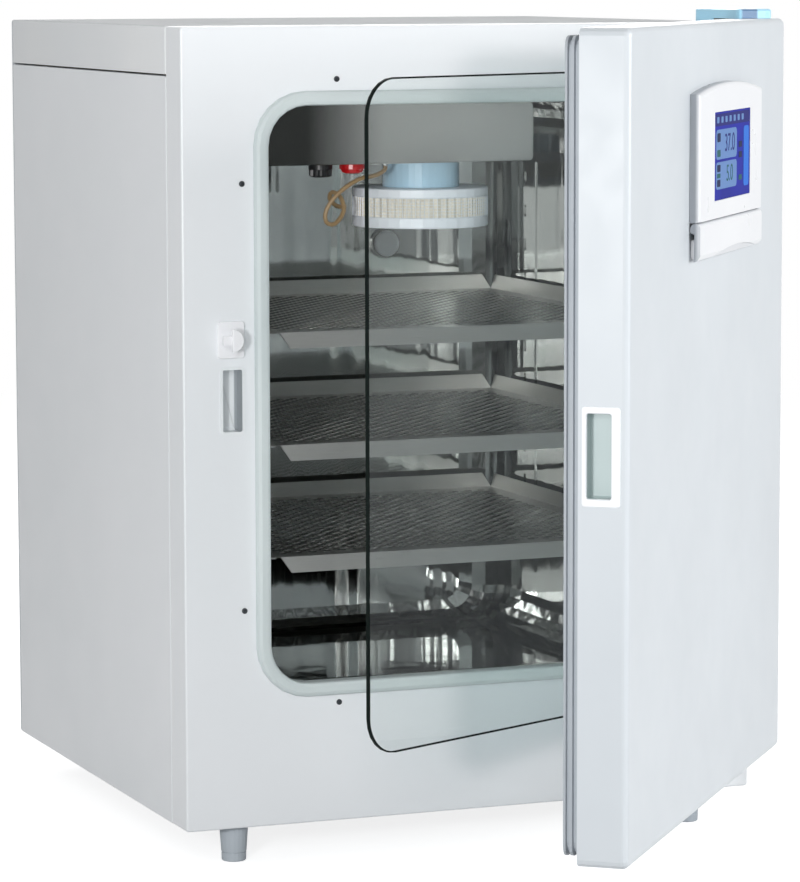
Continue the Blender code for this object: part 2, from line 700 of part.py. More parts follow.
door = pressed(
    "door_shell", door_ring(0.0), in_xz, DOOR_FRONT, DOOR_BACK, WHITE, door_axis, DOOR_ROUND, SHEET, 4
)
grip_cut = (grown(GRIP_Y, -0.0015), grown(GRIP_Z, -0.0015))
boolean(door, box("grip_cut_shell", (-THROUGH, THROUGH), *grip_cut, None, door_axis))
dish_loops = [
    in_xz(door_ring(DOOR_EDGE), DOOR_BACK),
    in_xz(door_ring(DISH_IN, DISH_R), DOOR_BACK),
    in_xz(door_ring(DISH_IN + 0.0010, DISH_R), DOOR_BACK - 0.0015),
    in_xz(door_ring(DISH_IN + 0.0030, DISH_R), DISH + 0.0020),
    in_xz(door_ring(DISH_IN + 0.0075, DISH_R), DISH),
]
walled(loft("door_liner", dish_loops, ABS, door_axis, "last"), SHEET, 1.0)
core_front = in_xz(door_ring(DOOR_EDGE + DOOR_ROUND), DOOR_FRONT + DOOR_EDGE)
core_back = in_xz(door_ring(DOOR_EDGE), DISH - DOOR_EDGE)
core = loft("door_core", [core_back, core_front], FOAM, door_axis)
grip_cut = (grown(GRIP_Y, 0.001), grown(GRIP_Z, 0.001))
boolean(core, box("grip_cut_core", (-THROUGH, GRIP_DEPTH + 0.003), *grip_cut, None, door_axis))
for n, z in enumerate(DOOR_Z):
    skin_cut = grown((z, z), THROUGH)
    cut_round(door, f"pin_cut_shell_{n}", DOOR_PIN, PIN_R + PIN_CLEAR, *skin_cut, "z", door_axis, 16)
    core_cut = grown((z, z), 2 * PIN_L)
    cut_round(core, f"pin_cut_core_{n}", DOOR_PIN, PIN_R + 4 * PIN_CLEAR, *core_cut, "z", door_axis, 16)

# seal: a block with two grooves along its outer side and a lip on its inner side. Its face slopes
# back outside the pin line, so that it clears the frame as the door swings.
SEAL_BACK = DOOR_BACK + GAP
run = -GAP - SEAL_BACK
pin_stand = -GAP - DOOR_PIN[1]
seal_slope = pin_stand - math.sqrt(pin_stand**2 - (PIN_IN - GASKET_IN) ** 2) + GAP / 2
section = [(GASKET_IN, SEAL_BACK)]
for level in (0.16, 0.52):
    section.append((GASKET_IN, SEAL_BACK + level * run))
    section.append((GASKET_IN + GASKET_GROOVE, SEAL_BACK + (level + 0.05) * run))
    section.append((GASKET_IN + GASKET_GROOVE, SEAL_BACK + (level + 0.15) * run))
    section.append((GASKET_IN, SEAL_BACK + (level + 0.20) * run))
inner = GASKET_IN + GASKET_W
section += [(GASKET_IN, -GAP - seal_slope), (PIN_IN + GAP, -GAP), (inner, -GAP), (inner, -GAP - 0.28 * run)]
section += [(inner - 0.004, SEAL_BACK + 0.6 * run), (inner, SEAL_BACK)]
loft("door_gasket", [in_xz(door_ring(d, 0.012), y) for d, y in section], SEAL, door_axis, "ring")

grip = rounded(*GRIP_Y, *GRIP_Z, 0.003, 2)
body = inset(grip, GRIP_WALL)
front_rim, back_rim, low_rim, top_rim = GRIP_RIM
hollow = rounded(
    GRIP_Y[0] + front_rim, GRIP_Y[1] - back_rim, GRIP_Z[0] + low_rim, GRIP_Z[1] - top_rim, 0.002, 2
)
loft(
    "grip_pocket",
    [
        in_yz(inset(hollow, 0.0015), GRIP_DEPTH - 0.0015),
        in_yz(hollow, GRIP_DEPTH - 0.0035),
        in_yz(hollow, -0.0004),
        in_yz(inset(hollow, -0.0008), -GRIP_LIP),
        in_yz(inset(grip, 0.0008), -GRIP_LIP),
        in_yz(grip, -GRIP_LIP / 2),
        in_yz(grip, -GAP),
        in_yz(body, -GAP),
        in_yz(body, GRIP_DEPTH),
    ],
    ABS,
    door_axis,
)


# control panel
def arched(x, z, rise, parts=10):
    """A panel's outline with square lower corners and an arched top."""
    points = [(x[0], z[0]), (x[1], z[0])]
    for k in range(parts + 1):
        t = 1 - k / parts
        points.append((x[0] + (x[1] - x[0]) * t, z[1] + rise * (1 - (2 * t - 1) ** 2)))
    return points


loops = []
for k in range(4):
    a = math.pi / 6 * k
    step = PANEL_ROUND * (1 - math.sin(a))
    around = arched(grown(PANEL_X, -step), (PANEL_Z[0] + min(step, 0.001), PANEL_Z[1] - step), PANEL_ARCH)
    loops.append(in_xz(around, PANEL_FRONT + PANEL_ROUND * (1 - math.cos(a))))
loops.append(in_xz(arched(PANEL_X, PANEL_Z, PANEL_ARCH), DOOR_FRONT - GAP))
housing = loft("panel_housing", loops, ABS, door_axis)
screen_y = (PANEL_FRONT + SCREEN_SUNK, PANEL_FRONT + SCREEN_SUNK + SCREEN_T)
window = (grown(SCREEN_X, GAP), (PANEL_FRONT - THROUGH, screen_y[1] + GAP), grown(SCREEN_Z, GAP))
boolean(housing, box("screen_cut", *window, None, door_axis))
box("display", SCREEN_X, screen_y, SCREEN_Z, SCREEN, door_axis)

# flap: a plate with a rounded bead on its hinge line and a finger hollow along its lower edge
section = []
for k in range(9):
    a = math.pi * (1 - k / 8)
    section.append((FLAP_AXIS[1] - FLAP_R * math.cos(a), FLAP_AXIS[2] + FLAP_R * math.sin(a)))
FLAP_BACK = PANEL_FRONT + FLAP_T
section += [(PANEL_FRONT, FLAP_Z[0] + 0.006), (PANEL_FRONT + 0.003, FLAP_Z[0] + 0.001)]
section += [(PANEL_FRONT + 0.005, FLAP_Z[0]), (FLAP_BACK, FLAP_Z[0])]
section += [(FLAP_BACK, FLAP_AXIS[2] - FLAP_R - 0.0005), (FLAP_AXIS[1] + FLAP_R, FLAP_AXIS[2] - 0.004)]
flap_x = grown(PANEL_X, -FLAP_SEAM)
flap = slab("panel_flap", section, in_yz, *flap_x, ABS, flap_axis)
arc = (sum(PANEL_X) / 2 + 0.022, FLAP_Z[0] + FLAP_ARC_UP - FLAP_ARC_R)
arc_cut = (PANEL_FRONT - THROUGH, PANEL_FRONT + FLAP_FINGER)
cut_round(flap, "flap_arc", arc, FLAP_ARC_R, *arc_cut, "y", flap_axis, 240)
port_z = (FLAP_Z[0] + 0.002, FLAP_AXIS[2] - 2 * FLAP_R - 0.001)
port_plate = rounded(*grown(PANEL_X, -0.008), *port_z, 0.003, 2)
plate = slab("service_plate", port_plate, in_xz, FLAP_BACK + PLATE_CLEAR, DOOR_FRONT - GAP, ABS, door_axis)
socket_x = (PANEL_X[0] + SOCKET_X, PANEL_X[0] + SOCKET_X + SOCKET_W)
socket_z = (FLAP_Z[0] + 0.008, FLAP_Z[0] + 0.008 + SOCKET_H)
boolean(plate, box("socket_cut", socket_x, (PANEL_FRONT, DOOR_FRONT - 0.002), socket_z, None, door_axis))

# hinges of the outer door, and the cap over the upper one
bracket_z = (BODY_H + GAP, BODY_H + GAP + ARM_T)
upper = box("hinge_bracket_upper", ARM_X, (ARM_FRONT, DOOR_STANDOFF * 2), ARM_Z, ZINC)
riser_y = (RISER_Y, RISER_Y + RISER_T)
join(upper, box("upper_riser", ARM_X, riser_y, (bracket_z[0], ARM_Z[1] - 0.001)))
join(upper, box("upper_base", ARM_X, (RISER_Y, BRACKET_BACK), bracket_z))
pin = [(PIN_R - 0.001, DOOR_Z[1] - PIN_L - 0.001), (PIN_R, DOOR_Z[1] - PIN_L), (PIN_R, ARM_Z[0] + 0.001)]
join(upper, turned("upper_pin", pin, DOOR_PIN, None, root, "z", 16))
lower = box("hinge_bracket_lower", ARM_X, (ARM_FRONT, -GAP), (ARM_TOP_LOW - ARM_T, ARM_TOP_LOW), WHITE)
lower_z = (ARM_TOP_LOW - BRACKET_DROP, ARM_TOP_LOW - 0.001)
join(lower, box("lower_base", ARM_X, (-GAP - ARM_T, -GAP), lower_z))
pin = [(PIN_R, ARM_TOP_LOW - 0.001), (PIN_R, DOOR_Z[0] + PIN_L), (PIN_R - 0.001, DOOR_Z[0] + PIN_L + 0.001)]
join(lower, turned("lower_pin", pin, DOOR_PIN, None, root, "z", 16))

CAP_X = (DOOR_PIN[0] - HINGE_CAP_LEFT, DOOR_PIN[0] + HINGE_CAP_RIGHT)
CAP_Y = (DOOR_PIN[1] - HINGE_CAP_AHEAD, HINGE_CAP_BACK)
cap_plan = rounded(*CAP_X, *CAP_Y, (0.006, 0.014, 0.006, 0.006), 3)
cap_roof = BODY_H + HINGE_CAP_H
cap = pressed(
    "hinge_cap", cap_plan, in_xy, cap_roof, BODY_H + GAP, CYAN, root, HINGE_CAP_ROUND, HINGE_CAP_T
)
cap_z = (BODY_H - THROUGH, DOOR_Z[1] + HINGE_CAP_OVER)
boolean(cap, box("cap_cut", grown(CAP_X, THROUGH), (CAP_Y[0] - THROUGH, -REAR_GAP), cap_z))

# glass door
glass_face = rounded(*GLASS_X, *GLASS_Z, GLASS_R, 6)
glass_edge = inset(glass_face, GLASS_CHAMFER)
pane_loops = [
    in_xz(glass_edge, GLASS_FRONT),
    in_xz(glass_face, GLASS_FRONT + GLASS_CHAMFER),
    in_xz(glass_face, GLASS_BACK - GLASS_CHAMFER),
    in_xz(glass_edge, GLASS_BACK),
]
loft("glass_pane", pane_loops, GLASS, glass_axis)
WEB_X = (GLASS_AXIS[0] - GLASS_PIN_R, GLASS_AXIS[0] + CLAMP_WEB)
leaf_y = (GLASS_FRONT - GAP - CLAMP_T, GLASS_FRONT - GAP)
back_y = (GLASS_BACK + GAP, GLASS_BACK + GAP + CLAMP_T)
for name, z in zip(("lower", "upper"), GLASS_HINGE_Z):
    span = grown((z, z), CLAMP_H / 2)
    front_leaf = rounded(GLASS_AXIS[0] - CLAMP_FRONT_W, WEB_X[1], *span, (0.004, 0, 0, 0.004), 2)
    clamp = slab(f"glass_clamp_{name}", front_leaf, in_xz, *leaf_y, ZINC, glass_axis)
    back_x = (GLASS_AXIS[0] - CLAMP_BACK_W, WEB_X[1])
    join(clamp, box(f"clamp_back_{name}", back_x, back_y, span, None, glass_axis))
    web_y = (leaf_y[0] + 0.0004, back_y[1] - 0.0004)
    join(clamp, box(f"clamp_web_{name}", WEB_X, web_y, span, None, glass_axis))
    pin = [(GLASS_PIN_R, span[0] - LUG_T), (GLASS_PIN_R, span[1] + LUG_T)]
    join(clamp, turned(f"clamp_pin_{name}", pin, GLASS_AXIS, None, glass_axis, "z", 12))

    # fixed half: a plate on the frame with a lug and eye at each end of the clamp
    plate_x = (GLASS_AXIS[0] + 0.010, GLASS_AXIS[0] + 0.023)
    ends = grown(span, LUG_OUT)
    hinge = box(f"glass_hinge_{name}", plate_x, (-GAP - ARM_T, -GAP), ends, ZINC)
    for m, lug in enumerate(((ends[0], ends[0] + LUG_T), (ends[1] - LUG_T, ends[1]))):
        lug_x = (GLASS_AXIS[0] + 0.001, plate_x[0] + 0.002)
        join(hinge, box(f"lug_{name}_{m}", lug_x, (GLASS_AXIS[1] - 0.003, -0.0008), lug))
        eye = [(LUG_R, lug[0]), (LUG_R, lug[1])]
        join(hinge, turned(f"eye_{name}_{m}", eye, GLASS_AXIS, None, root, "z", 12))
    bore = (ends[0] - 0.001, ends[1] + 0.001)
    cut_round(hinge, f"lug_bore_{name}", GLASS_AXIS, GLASS_PIN_R + GAP, *bore, "z", root, 12)

# plenum, fan and filter
plenum_radii = (PLENUM_R, PLENUM_R, PLENUM_R, CHAMBER_R - GAP)
plenum = pressed("plenum_housing", rounded(*PLENUM, plenum_radii, 3), in_xz, *PLENUM_Y, SATIN)
intake = (PLENUM_LOW - THROUGH, PLENUM_LOW + THROUGH)
cut_round(plenum, "intake_cut", FAN_XY, NECK_BORE, *intake, "z", root, 32)
cut_round(plenum, "shaft_cut_plenum", FAN_XY, SHAFT_R + SHAFT_HOLE, *ceiling_cut, "z", root, 16)

motor = [
    (0.010, MOTOR_Z[0] - 0.0008),
    (MOTOR_R, MOTOR_Z[0]),
    (MOTOR_R, MOTOR_Z[1] - 0.003),
    (MOTOR_R - 0.003, MOTOR_Z[1]),
    (SHAFT_R + GAP, MOTOR_Z[1]),
    (SHAFT_R + GAP, MOTOR_Z[0] - 0.0008),
]
turned("fan_motor", motor, FAN_XY, ALUMINIUM, root, "z", 24, True)

low, high = ROTOR_Z
disc = [
    (SHAFT_R, MOTOR_Z[1] - 0.002),
    (SHAFT_R, high + 0.0005),
    (ROTOR_R, high + 0.0005),
    (ROTOR_R, high - 0.0015),
    (ROTOR_HUB, high - 0.0015),
    (ROTOR_HUB - 0.004, high - 0.014),
    (0.003, high - 0.016),
]
rotor = turned("fan_rotor", disc, FAN_XY, ALUMINIUM, fan_axis, "z", 32)
for n in range(BLADES):
    spine = []
    for k in range(6):
        t = k / 5
        r = BLADE_IN + (ROTOR_R - 0.0015 - BLADE_IN) * t
        a = 2 * math.pi * n / BLADES - 0.95 * t * t - 0.15 * t
        spine.append(Vector((FAN_XY[0] + r * math.cos(a), FAN_XY[1] + r * math.sin(a))))
    left, right = [], []
    for k, p in enumerate(spine):
        way = (spine[min(k + 1, 5)] - spine[max(k - 1, 0)]).normalized()
        across = Vector((-way.y, way.x)) * BLADE_T / 2
        left.append(tuple(p + across))
        right.append(tuple(p - across))
    join(rotor, slab(f"blade_{n}", right + left[::-1], in_xy, low, high - 0.0005, None, fan_axis))

neck_z = (FILTER_TOP + GAP, PLENUM_LOW - GAP)
neck = [(NECK_R, neck_z[0]), (NECK_R, neck_z[1]), (NECK_BORE, neck_z[1]), (NECK_BORE, neck_z[0])]
turned("filter_neck", neck, FAN_XY, BLUE, root, "z", 36, True)
cap_top = [
    (FILTER_R - 0.001, MEDIA_TOP + GAP),
    (FILTER_R, MEDIA_TOP + 0.001),
    (FILTER_R, FILTER_TOP - 0.001),
    (FILTER_R - 0.001, FILTER_TOP),
    (NECK_BORE, FILTER_TOP),
    (NECK_BORE, MEDIA_TOP + GAP),
]
turned("filter_cap_top", cap_top, FAN_XY, CAP, root, "z", 36, True)
cap_end = [
    (FILTER_R - 0.001, FILTER_LOW),
    (FILTER_R, FILTER_LOW + 0.001),
    (FILTER_R, MEDIA_LOW - 0.001),
    (FILTER_R - 0.001, MEDIA_LOW - GAP),
]
turned("filter_cap_end", cap_end, FAN_XY, CAP, root, "z", 36)
pleated, bore = [], circle(*FAN_XY, FILTER_BORE, 2 * PLEATS)
for k in range(2 * PLEATS):
    a = math.pi * k / PLEATS
    r = FILTER_R - PLEAT_IN - (0.0 if k % 2 else PLEAT_DEPTH)
    pleated.append((FAN_XY[0] + r * math.cos(a), FAN_XY[1] + r * math.sin(a)))
media = [in_xy(pleated, MEDIA_LOW), in_xy(pleated, MEDIA_TOP), in_xy(bore, MEDIA_TOP), in_xy(bore, MEDIA_LOW)]
loft("filter_media", media, PAPER, root, "ring")


# sensor guard, red cap and air tube below the plenum
def under_plenum(spot):
    return (PLENUM[0] + spot[0], PLENUM_FRONT + spot[1])


hung = PLENUM_LOW - GAP
x, y = under_plenum(GUARD_AT)
guard = []
for k in range(32):
    a = math.pi * k / 16
    r = GUARD_R - (GUARD_NOTCH if k % 4 > 1 else 0.0)
    guard.append((x + r * math.cos(a), y + r * math.sin(a)))
plain = circle(x, y, GUARD_R + 0.0004, 32)
low = PLENUM_LOW - GUARD_H
guard_loops = [
    in_xy(circle(x, y, GUARD_R - 0.0035, 32), low),
    in_xy(guard, low + 0.0015),
    in_xy(guard, low + 0.0085),
    in_xy(plain, low + 0.0090),
    in_xy(plain, hung),
]
loft("sensor_guard", guard_loops, BLACK)
low = PLENUM_LOW - RED_CAP_H
profile = [
    (RED_CAP_R - 0.006, low),
    (RED_CAP_R - 0.003, low + 0.0012),
    (RED_CAP_R - 0.001, low + 0.0045),
    (RED_CAP_R, low + 0.0052),
    (RED_CAP_R, PLENUM_LOW - 0.0015),
    (RED_CAP_R - 0.001, hung),
]
turned("red_cap", profile, under_plenum(RED_CAP_AT), RED)

x, y = under_plenum(TUBE_AT)
stub = hung - TUBE_FITTING_H
fitting = [(TUBE_FITTING_R, hung), (TUBE_FITTING_R, stub + 0.0018)]
fitting += [(TUBE_FITTING_R - 0.0016, stub + 0.0018), (TUBE_FITTING_R - 0.0016, stub)]
turned("tube_fitting", fitting, (x, y), ALUMINIUM, root, "z", 16)

# the tube's course from its fitting, as steps from the fitting's lower end
COURSE = (
    (0.0000, 0.0000, -0.0005),
    (-0.0017, -0.0002, -0.0055),
    (-0.0115, -0.0010, -0.0105),
    (-0.0325, 0.0000, -0.0157),
    (-0.0555, 0.0020, -0.0307),
    (-0.0700, 0.0030, -0.0492),
    (-0.0700, 0.0040, -0.0637),
    (-0.0585, 0.0060, -0.0662),
    (-0.0465, 0.0090, -0.0517),
    (-0.0485, 0.0150, -0.0357),
    (-0.0555, 0.0230, -0.0307),
    (-0.0555, 0.0310, -0.0387),
    (-0.0445, 0.0370, -0.0477),
    (-0.0325, 0.0410, -0.0487),
)


def smooth(points, parts):
    """Points along a Catmull-Rom curve through the given ones."""
    knots = [Vector(p) for p in points]
    knots = [2 * knots[0] - knots[1], *knots, 2 * knots[-1] - knots[-2]]
    made = []
    for n in range(1, len(knots) - 2):
        a, b, c, d = knots[n - 1 : n + 3]
        for k in range(parts):
            t = k / parts
            square, cube = 2 * a - 5 * b + 4 * c - d, 3 * b - a - 3 * c + d
            made.append(0.5 * (2 * b + (c - a) * t + square * t * t + cube * t**3))
    made.append(knots[-2])
    return made


line = bpy.data.curves.new("air_tube", "CURVE")
line.dimensions = "3D"
line.bevel_depth = TUBE_R
line.bevel_resolution = 2
line.use_fill_caps = True
course = smooth(COURSE, 3)
spline = line.splines.new("POLY")
spline.points.add(len(course) - 1)
for point, step in zip(spline.points, course):
    point.co = (*step, 1.0)
place("air_tube", line, SILICONE, root, (x, y, stub))

# racks on the side walls
RACK_X = CHAMBER_X[0] + GAP
RACK_Y = (RACK_POSTS[0][0] - RACK_REACH[0], RACK_POSTS[1][1] + RACK_REACH[1])


def from_wall(side, a, b):
    """A span counted from the left, or mirrored to the right wall."""
    return (a, b) if side == "left" else (BODY_W - b, BODY_W - a)


for side in ("left", "right"):
    sheet = from_wall(side, RACK_X, RACK_X + RACK_T)
    rack = box(f"rack_{side}", sheet, RACK_POSTS[0], RACK_Z, SATIN)
    join(rack, box(f"post_{side}", sheet, RACK_POSTS[1], RACK_Z))
    leg_x = from_wall(side, RACK_X + RACK_SET_OFF, RACK_X + RACK_T + RACK_LEG_T)
    ledge_x = from_wall(side, RACK_X + RACK_LEG_T, SHELF_X[0] + RACK_LEDGE_IN)
    for n, z in enumerate(SHELF_Z):
        ledge_top = z - SHELF_T - GAP
        join(rack, box(f"leg_{side}_{n}", leg_x, RACK_Y, (ledge_top - RACK_LEG_H, ledge_top)))
        join(rack, box(f"ledge_{side}_{n}", ledge_x, RACK_Y, (ledge_top - RACK_T, ledge_top)))


def shelf(name, z):
    """A folded tray: a floor with cut front corners, a lip down at the front, walls up on three sides."""
    x0, x1 = SHELF_X
    y0, y1 = SHELF_Y
    c = SHELF_CORNER
    plan = [(x0 + c, y0), (x1 - c, y0), (x1, y0 + c), (x1, y1), (x0, y1), (x0, y0 + c)]
    shape = bmesh.new()
    floor = shape.faces.new([shape.verts.new((*p, z)) for p in plan])
    folds = ((0, c, c, -SHELF_LIP), (2, c, SHELF_NOTCH, SHELF_WALL))
    folds += ((3, SHELF_NOTCH, SHELF_NOTCH, SHELF_WALL), (4, SHELF_NOTCH, c, SHELF_WALL))
    edges = list(floor.edges)
    for k, taper, far_taper, rise in folds:
        a, b = (Vector((*plan[n % 6], z)) for n in (k, k + 1))
        along = (b - a).normalized()
        made = bmesh.ops.extrude_edge_only(shape, edges=[edges[k]])["geom"]
        for corner in [item for item in made if isinstance(item, bmesh.types.BMVert)]:
            near = (corner.co - a).length < (corner.co - b).length
            corner.co += along * (taper if near else -far_taper) + Vector((0.0, 0.0, rise))
    bmesh.ops.recalc_face_normals(shape, faces=shape.faces)
    floor.normal_update()
    if floor.normal.z < 0:
        bmesh.ops.reverse_faces(shape, faces=shape.faces)
    made = walled(finish(name, shape, SATIN, root), SHELF_T)
    made.modifiers["wall"].solidify_mode = "NON_MANIFOLD"
    made.modifiers["wall"].nonmanifold_thickness_mode = "CONSTRAINTS"


for n, z in enumerate(SHELF_Z):
    shelf(f"shelf_{n + 1}", z)

# rear fittings
bore, collar, outside = PORT_R - PORT_WALL, PORT_R + PORT_COLLAR, BODY_D + GAP
sleeve_start = CHAMBER_BACK - 0.0045
sleeve = [
    (bore, sleeve_start),
    (collar, sleeve_start),
    (collar, CHAMBER_BACK - GAP),
    (PORT_R, CHAMBER_BACK - GAP),
    (PORT_R, outside),
    (PORT_FLANGE, outside),
    (PORT_FLANGE, BODY_D + 0.004),
    (bore, BODY_D + 0.004),
]
turned("port_sleeve", sleeve, PORT, SATIN, root, "y", 20, True)
r = bore - GAP
y = sleeve_start - GAP
stopper = [(r, y + 0.025), (r, y), (r + 0.003, y), (r + 0.003, y - 0.0032), (r, y - 0.0047)]
turned("port_plug_inner", stopper, PORT, RUBBER, root, "y")
y = BODY_D + 0.004 + GAP
stopper = [(r, y - 0.0243), (r, y), (r + 0.006, y), (r + 0.006, y + 0.006), (r, y + 0.008)]
turned("port_plug_outer", stopper, PORT, RUBBER, root, "y")

inlet_x = (BODY_W - INLET_IN - INLET_W, BODY_W - INLET_IN)
inlet = rounded(*inlet_x, INLET_Z, INLET_Z + INLET_H, 0.003, 2)
socket_z = (INLET_Z + 0.005, INLET_Z + INLET_H - 0.005)
socket = rounded(*grown(inlet_x, -0.010), *socket_z, (0.002, 0.002, 0.005, 0.005), 2)
inlet_loops = [
    in_xz(inlet, outside),
    in_xz(inlet, outside + INLET_T - 0.001),
    in_xz(inset(inlet, 0.001), outside + INLET_T),
    in_xz(socket, outside + INLET_T),
    in_xz(socket, outside + 0.002),
]
plug = loft("power_inlet", inlet_loops, BLACK)
middle = sum(inlet_x) / 2
for n, (dx, dz) in enumerate(((-0.008, 0.0115), (0.008, 0.0115), (0.0, 0.0170))):
    pin_x, pin_z = grown((middle + dx,) * 2, 0.001), grown((INLET_Z + dz,) * 2, 0.002)
    join(plug, box(f"contact_{n}", pin_x, (outside + 0.001, outside + INLET_T - 0.001), pin_z))
barb = [(0.010, 0.0), (0.010, 0.006), (0.0055, 0.006), (0.0055, 0.010)]
barb += [(0.0045, 0.010), (0.0052, 0.0165), (0.0040, 0.018), (0.0032, 0.024)]
barb = [(r, outside + out) for r, out in barb]
turned("gas_inlet", barb, (BODY_W - GAS_IN, BODY_H - GAS_DOWN), ZINC, root, "y", 18)

# the floor-level centre of the whole, doors as they stand, becomes the origin
bpy.context.view_layer.update()
graph = bpy.context.evaluated_depsgraph_get()
corners = []
for piece in incubator.objects:
    if piece.type == "EMPTY":
        continue
    seen = piece.evaluated_get(graph)
    mesh = seen.to_mesh()
    corners += [piece.matrix_world @ v.co for v in mesh.vertices]
    seen.to_mesh_clear()
low = Vector(min(p[k] for p in corners) for k in range(3))
high = Vector(max(p[k] for p in corners) for k in range(3))
root.location = -Vector(((low.x + high.x) / 2, (low.y + high.y) / 2, low.z))
bpy.context.view_layer.update()
print("origin in cabinet sizes", [round(-v, 6) for v in root.location])
print("size", [round(v, 4) for v in high - low])
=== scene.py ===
"""Looks of a bench-top carbon dioxide incubator: its outer door stands open and its inner glass door is ajar."""

import json
import math

import bmesh
import bpy
from mathutils import Matrix, Vector

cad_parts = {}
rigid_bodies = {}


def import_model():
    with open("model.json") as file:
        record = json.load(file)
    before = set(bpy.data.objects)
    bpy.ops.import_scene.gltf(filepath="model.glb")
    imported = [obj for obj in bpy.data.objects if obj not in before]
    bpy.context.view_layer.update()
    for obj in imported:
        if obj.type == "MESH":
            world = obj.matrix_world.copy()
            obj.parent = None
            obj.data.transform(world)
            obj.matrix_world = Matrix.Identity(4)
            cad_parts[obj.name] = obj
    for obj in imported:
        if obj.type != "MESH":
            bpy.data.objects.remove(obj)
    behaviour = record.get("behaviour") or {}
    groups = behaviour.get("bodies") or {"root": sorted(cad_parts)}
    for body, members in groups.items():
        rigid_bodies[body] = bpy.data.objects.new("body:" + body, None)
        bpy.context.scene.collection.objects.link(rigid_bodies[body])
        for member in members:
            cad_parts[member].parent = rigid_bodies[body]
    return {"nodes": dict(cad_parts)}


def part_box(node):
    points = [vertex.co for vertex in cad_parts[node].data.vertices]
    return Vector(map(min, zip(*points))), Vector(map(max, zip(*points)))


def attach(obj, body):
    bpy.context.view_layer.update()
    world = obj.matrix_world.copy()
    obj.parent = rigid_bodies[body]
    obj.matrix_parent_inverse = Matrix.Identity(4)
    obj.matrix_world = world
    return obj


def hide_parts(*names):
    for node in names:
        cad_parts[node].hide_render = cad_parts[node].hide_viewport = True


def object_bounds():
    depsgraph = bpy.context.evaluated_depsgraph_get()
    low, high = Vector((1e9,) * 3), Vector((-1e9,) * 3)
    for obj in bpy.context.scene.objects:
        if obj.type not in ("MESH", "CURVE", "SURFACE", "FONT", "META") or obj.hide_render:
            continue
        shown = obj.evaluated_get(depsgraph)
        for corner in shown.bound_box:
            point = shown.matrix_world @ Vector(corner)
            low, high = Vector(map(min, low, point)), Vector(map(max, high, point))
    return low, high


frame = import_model()
cad_box = [list(corner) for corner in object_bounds()]
nodes = frame["nodes"]

HOME = Vector(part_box("front_frame")[0])

# places on the cabinet, from its front lower left corner
BODY_W, BODY_D, BODY_H = 0.700, 0.660, 0.900
DOOR_PIN = (0.678, -0.038)
DOOR_OPEN = math.radians(50.5)
GLASS_PIN = (0.632, -0.0123)
GLASS_OPEN = math.radians(25.2)
GLASS_X = (0.066, 0.6275)
GLASS_W = GLASS_X[1] - GLASS_X[0]
GLASS_R = 0.042
PANEL_FRONT = -0.085
SCREEN_X = (0.309, 0.474)
SCREEN_Z = (0.7165, 0.8103)
SCREEN_SUNK = 0.0004
SHELF_FIRST_Z = 0.3015
SHELF_PITCH = 0.1275
SHELF_T = 0.0012
SHELF_RIM = 0.019
HOUSING_SHADE_X = (0.17, 0.262)
# the band of painted shade on the hinge cap, inset from its right end
CAP_BAND = (0.0430, 0.0235)
CAP_BAND_BLEND = 0.002
GLASS_EDGE = (0.0021, 0.0015)


def at(x, y, z):
    """A place on the cabinet, in the frame's own metres."""
    return HOME + Vector((x, y, z))


def turned(pin, angle):
    """What a door does to a place on it when it opens by angle about its pin."""
    centre = at(*pin, 0.0)
    return Matrix.Translation(centre) @ Matrix.Rotation(angle, 4, "Z") @ Matrix.Translation(-centre)


ON_DOOR = turned(DOOR_PIN, DOOR_OPEN)


# colours and nodes
def srgb(code):
    """An sRGB hex colour as linear RGBA."""
    channels = [int(code[k : k + 2], 16) / 255 for k in (0, 2, 4)]
    return (*[c / 12.92 if c <= 0.04045 else ((c + 0.055) / 1.055) ** 2.4 for c in channels], 1.0)


def add(tree, kind, links=None, **settings):
    """Adds a shader node with its settings, and links or sets its sockets."""
    node = tree.nodes.new("ShaderNode" + kind)
    for key, value in settings.items():
        setattr(node, key, value)
    for key, value in (links or {}).items():
        if isinstance(value, bpy.types.NodeSocket):
            tree.links.new(value, node.inputs[key])
        else:
            node.inputs[key].default_value = value
    return node


def new_material(name, **constants):
    """An empty node material with one Principled shader, whose named sockets get these values."""
    made = bpy.data.materials.new(name)
    made.use_nodes = True
    tree = made.node_tree
    tree.nodes.clear()
    shader = add(tree, "BsdfPrincipled", constants)
    add(tree, "OutputMaterial", {"Surface": shader.outputs[0]})
    return made, tree, shader


def coords(tree, scale=(1, 1, 1)):
    """The piece's own coordinates in metres, stretched."""
    place = add(tree, "TexCoord").outputs["Object"]
    return add(tree, "Mapping", {"Vector": place, "Scale": scale}).outputs[0]


def shut(tree, pin, angle):
    """The piece's coordinates as if its door were shut: sockets for X, Y and Z."""
    place = add(tree, "TexCoord").outputs["Object"]
    settings = {"Vector": place, "Center": at(*pin, 0.0), "Angle": -angle}
    back = add(tree, "VectorRotate", settings, rotation_type="Z_AXIS").outputs[0]
    return add(tree, "SeparateXYZ", {0: back}).outputs


def noise(tree, vector, size, detail=2.0, rough=0.5):
    """Noise whose blotches are about that size in metres."""
    settings = {"Vector": vector, "Scale": 1 / size, "Detail": detail, "Roughness": rough}
    return add(tree, "TexNoise", settings).outputs[0]


def spread(tree, value, low, high, start=0.3, end=0.7):
    """Takes a value from start..end to low..high."""
    settings = {"Value": value, "From Min": start, "From Max": end, "To Min": low, "To Max": high}
    return add(tree, "MapRange", settings).outputs[0]


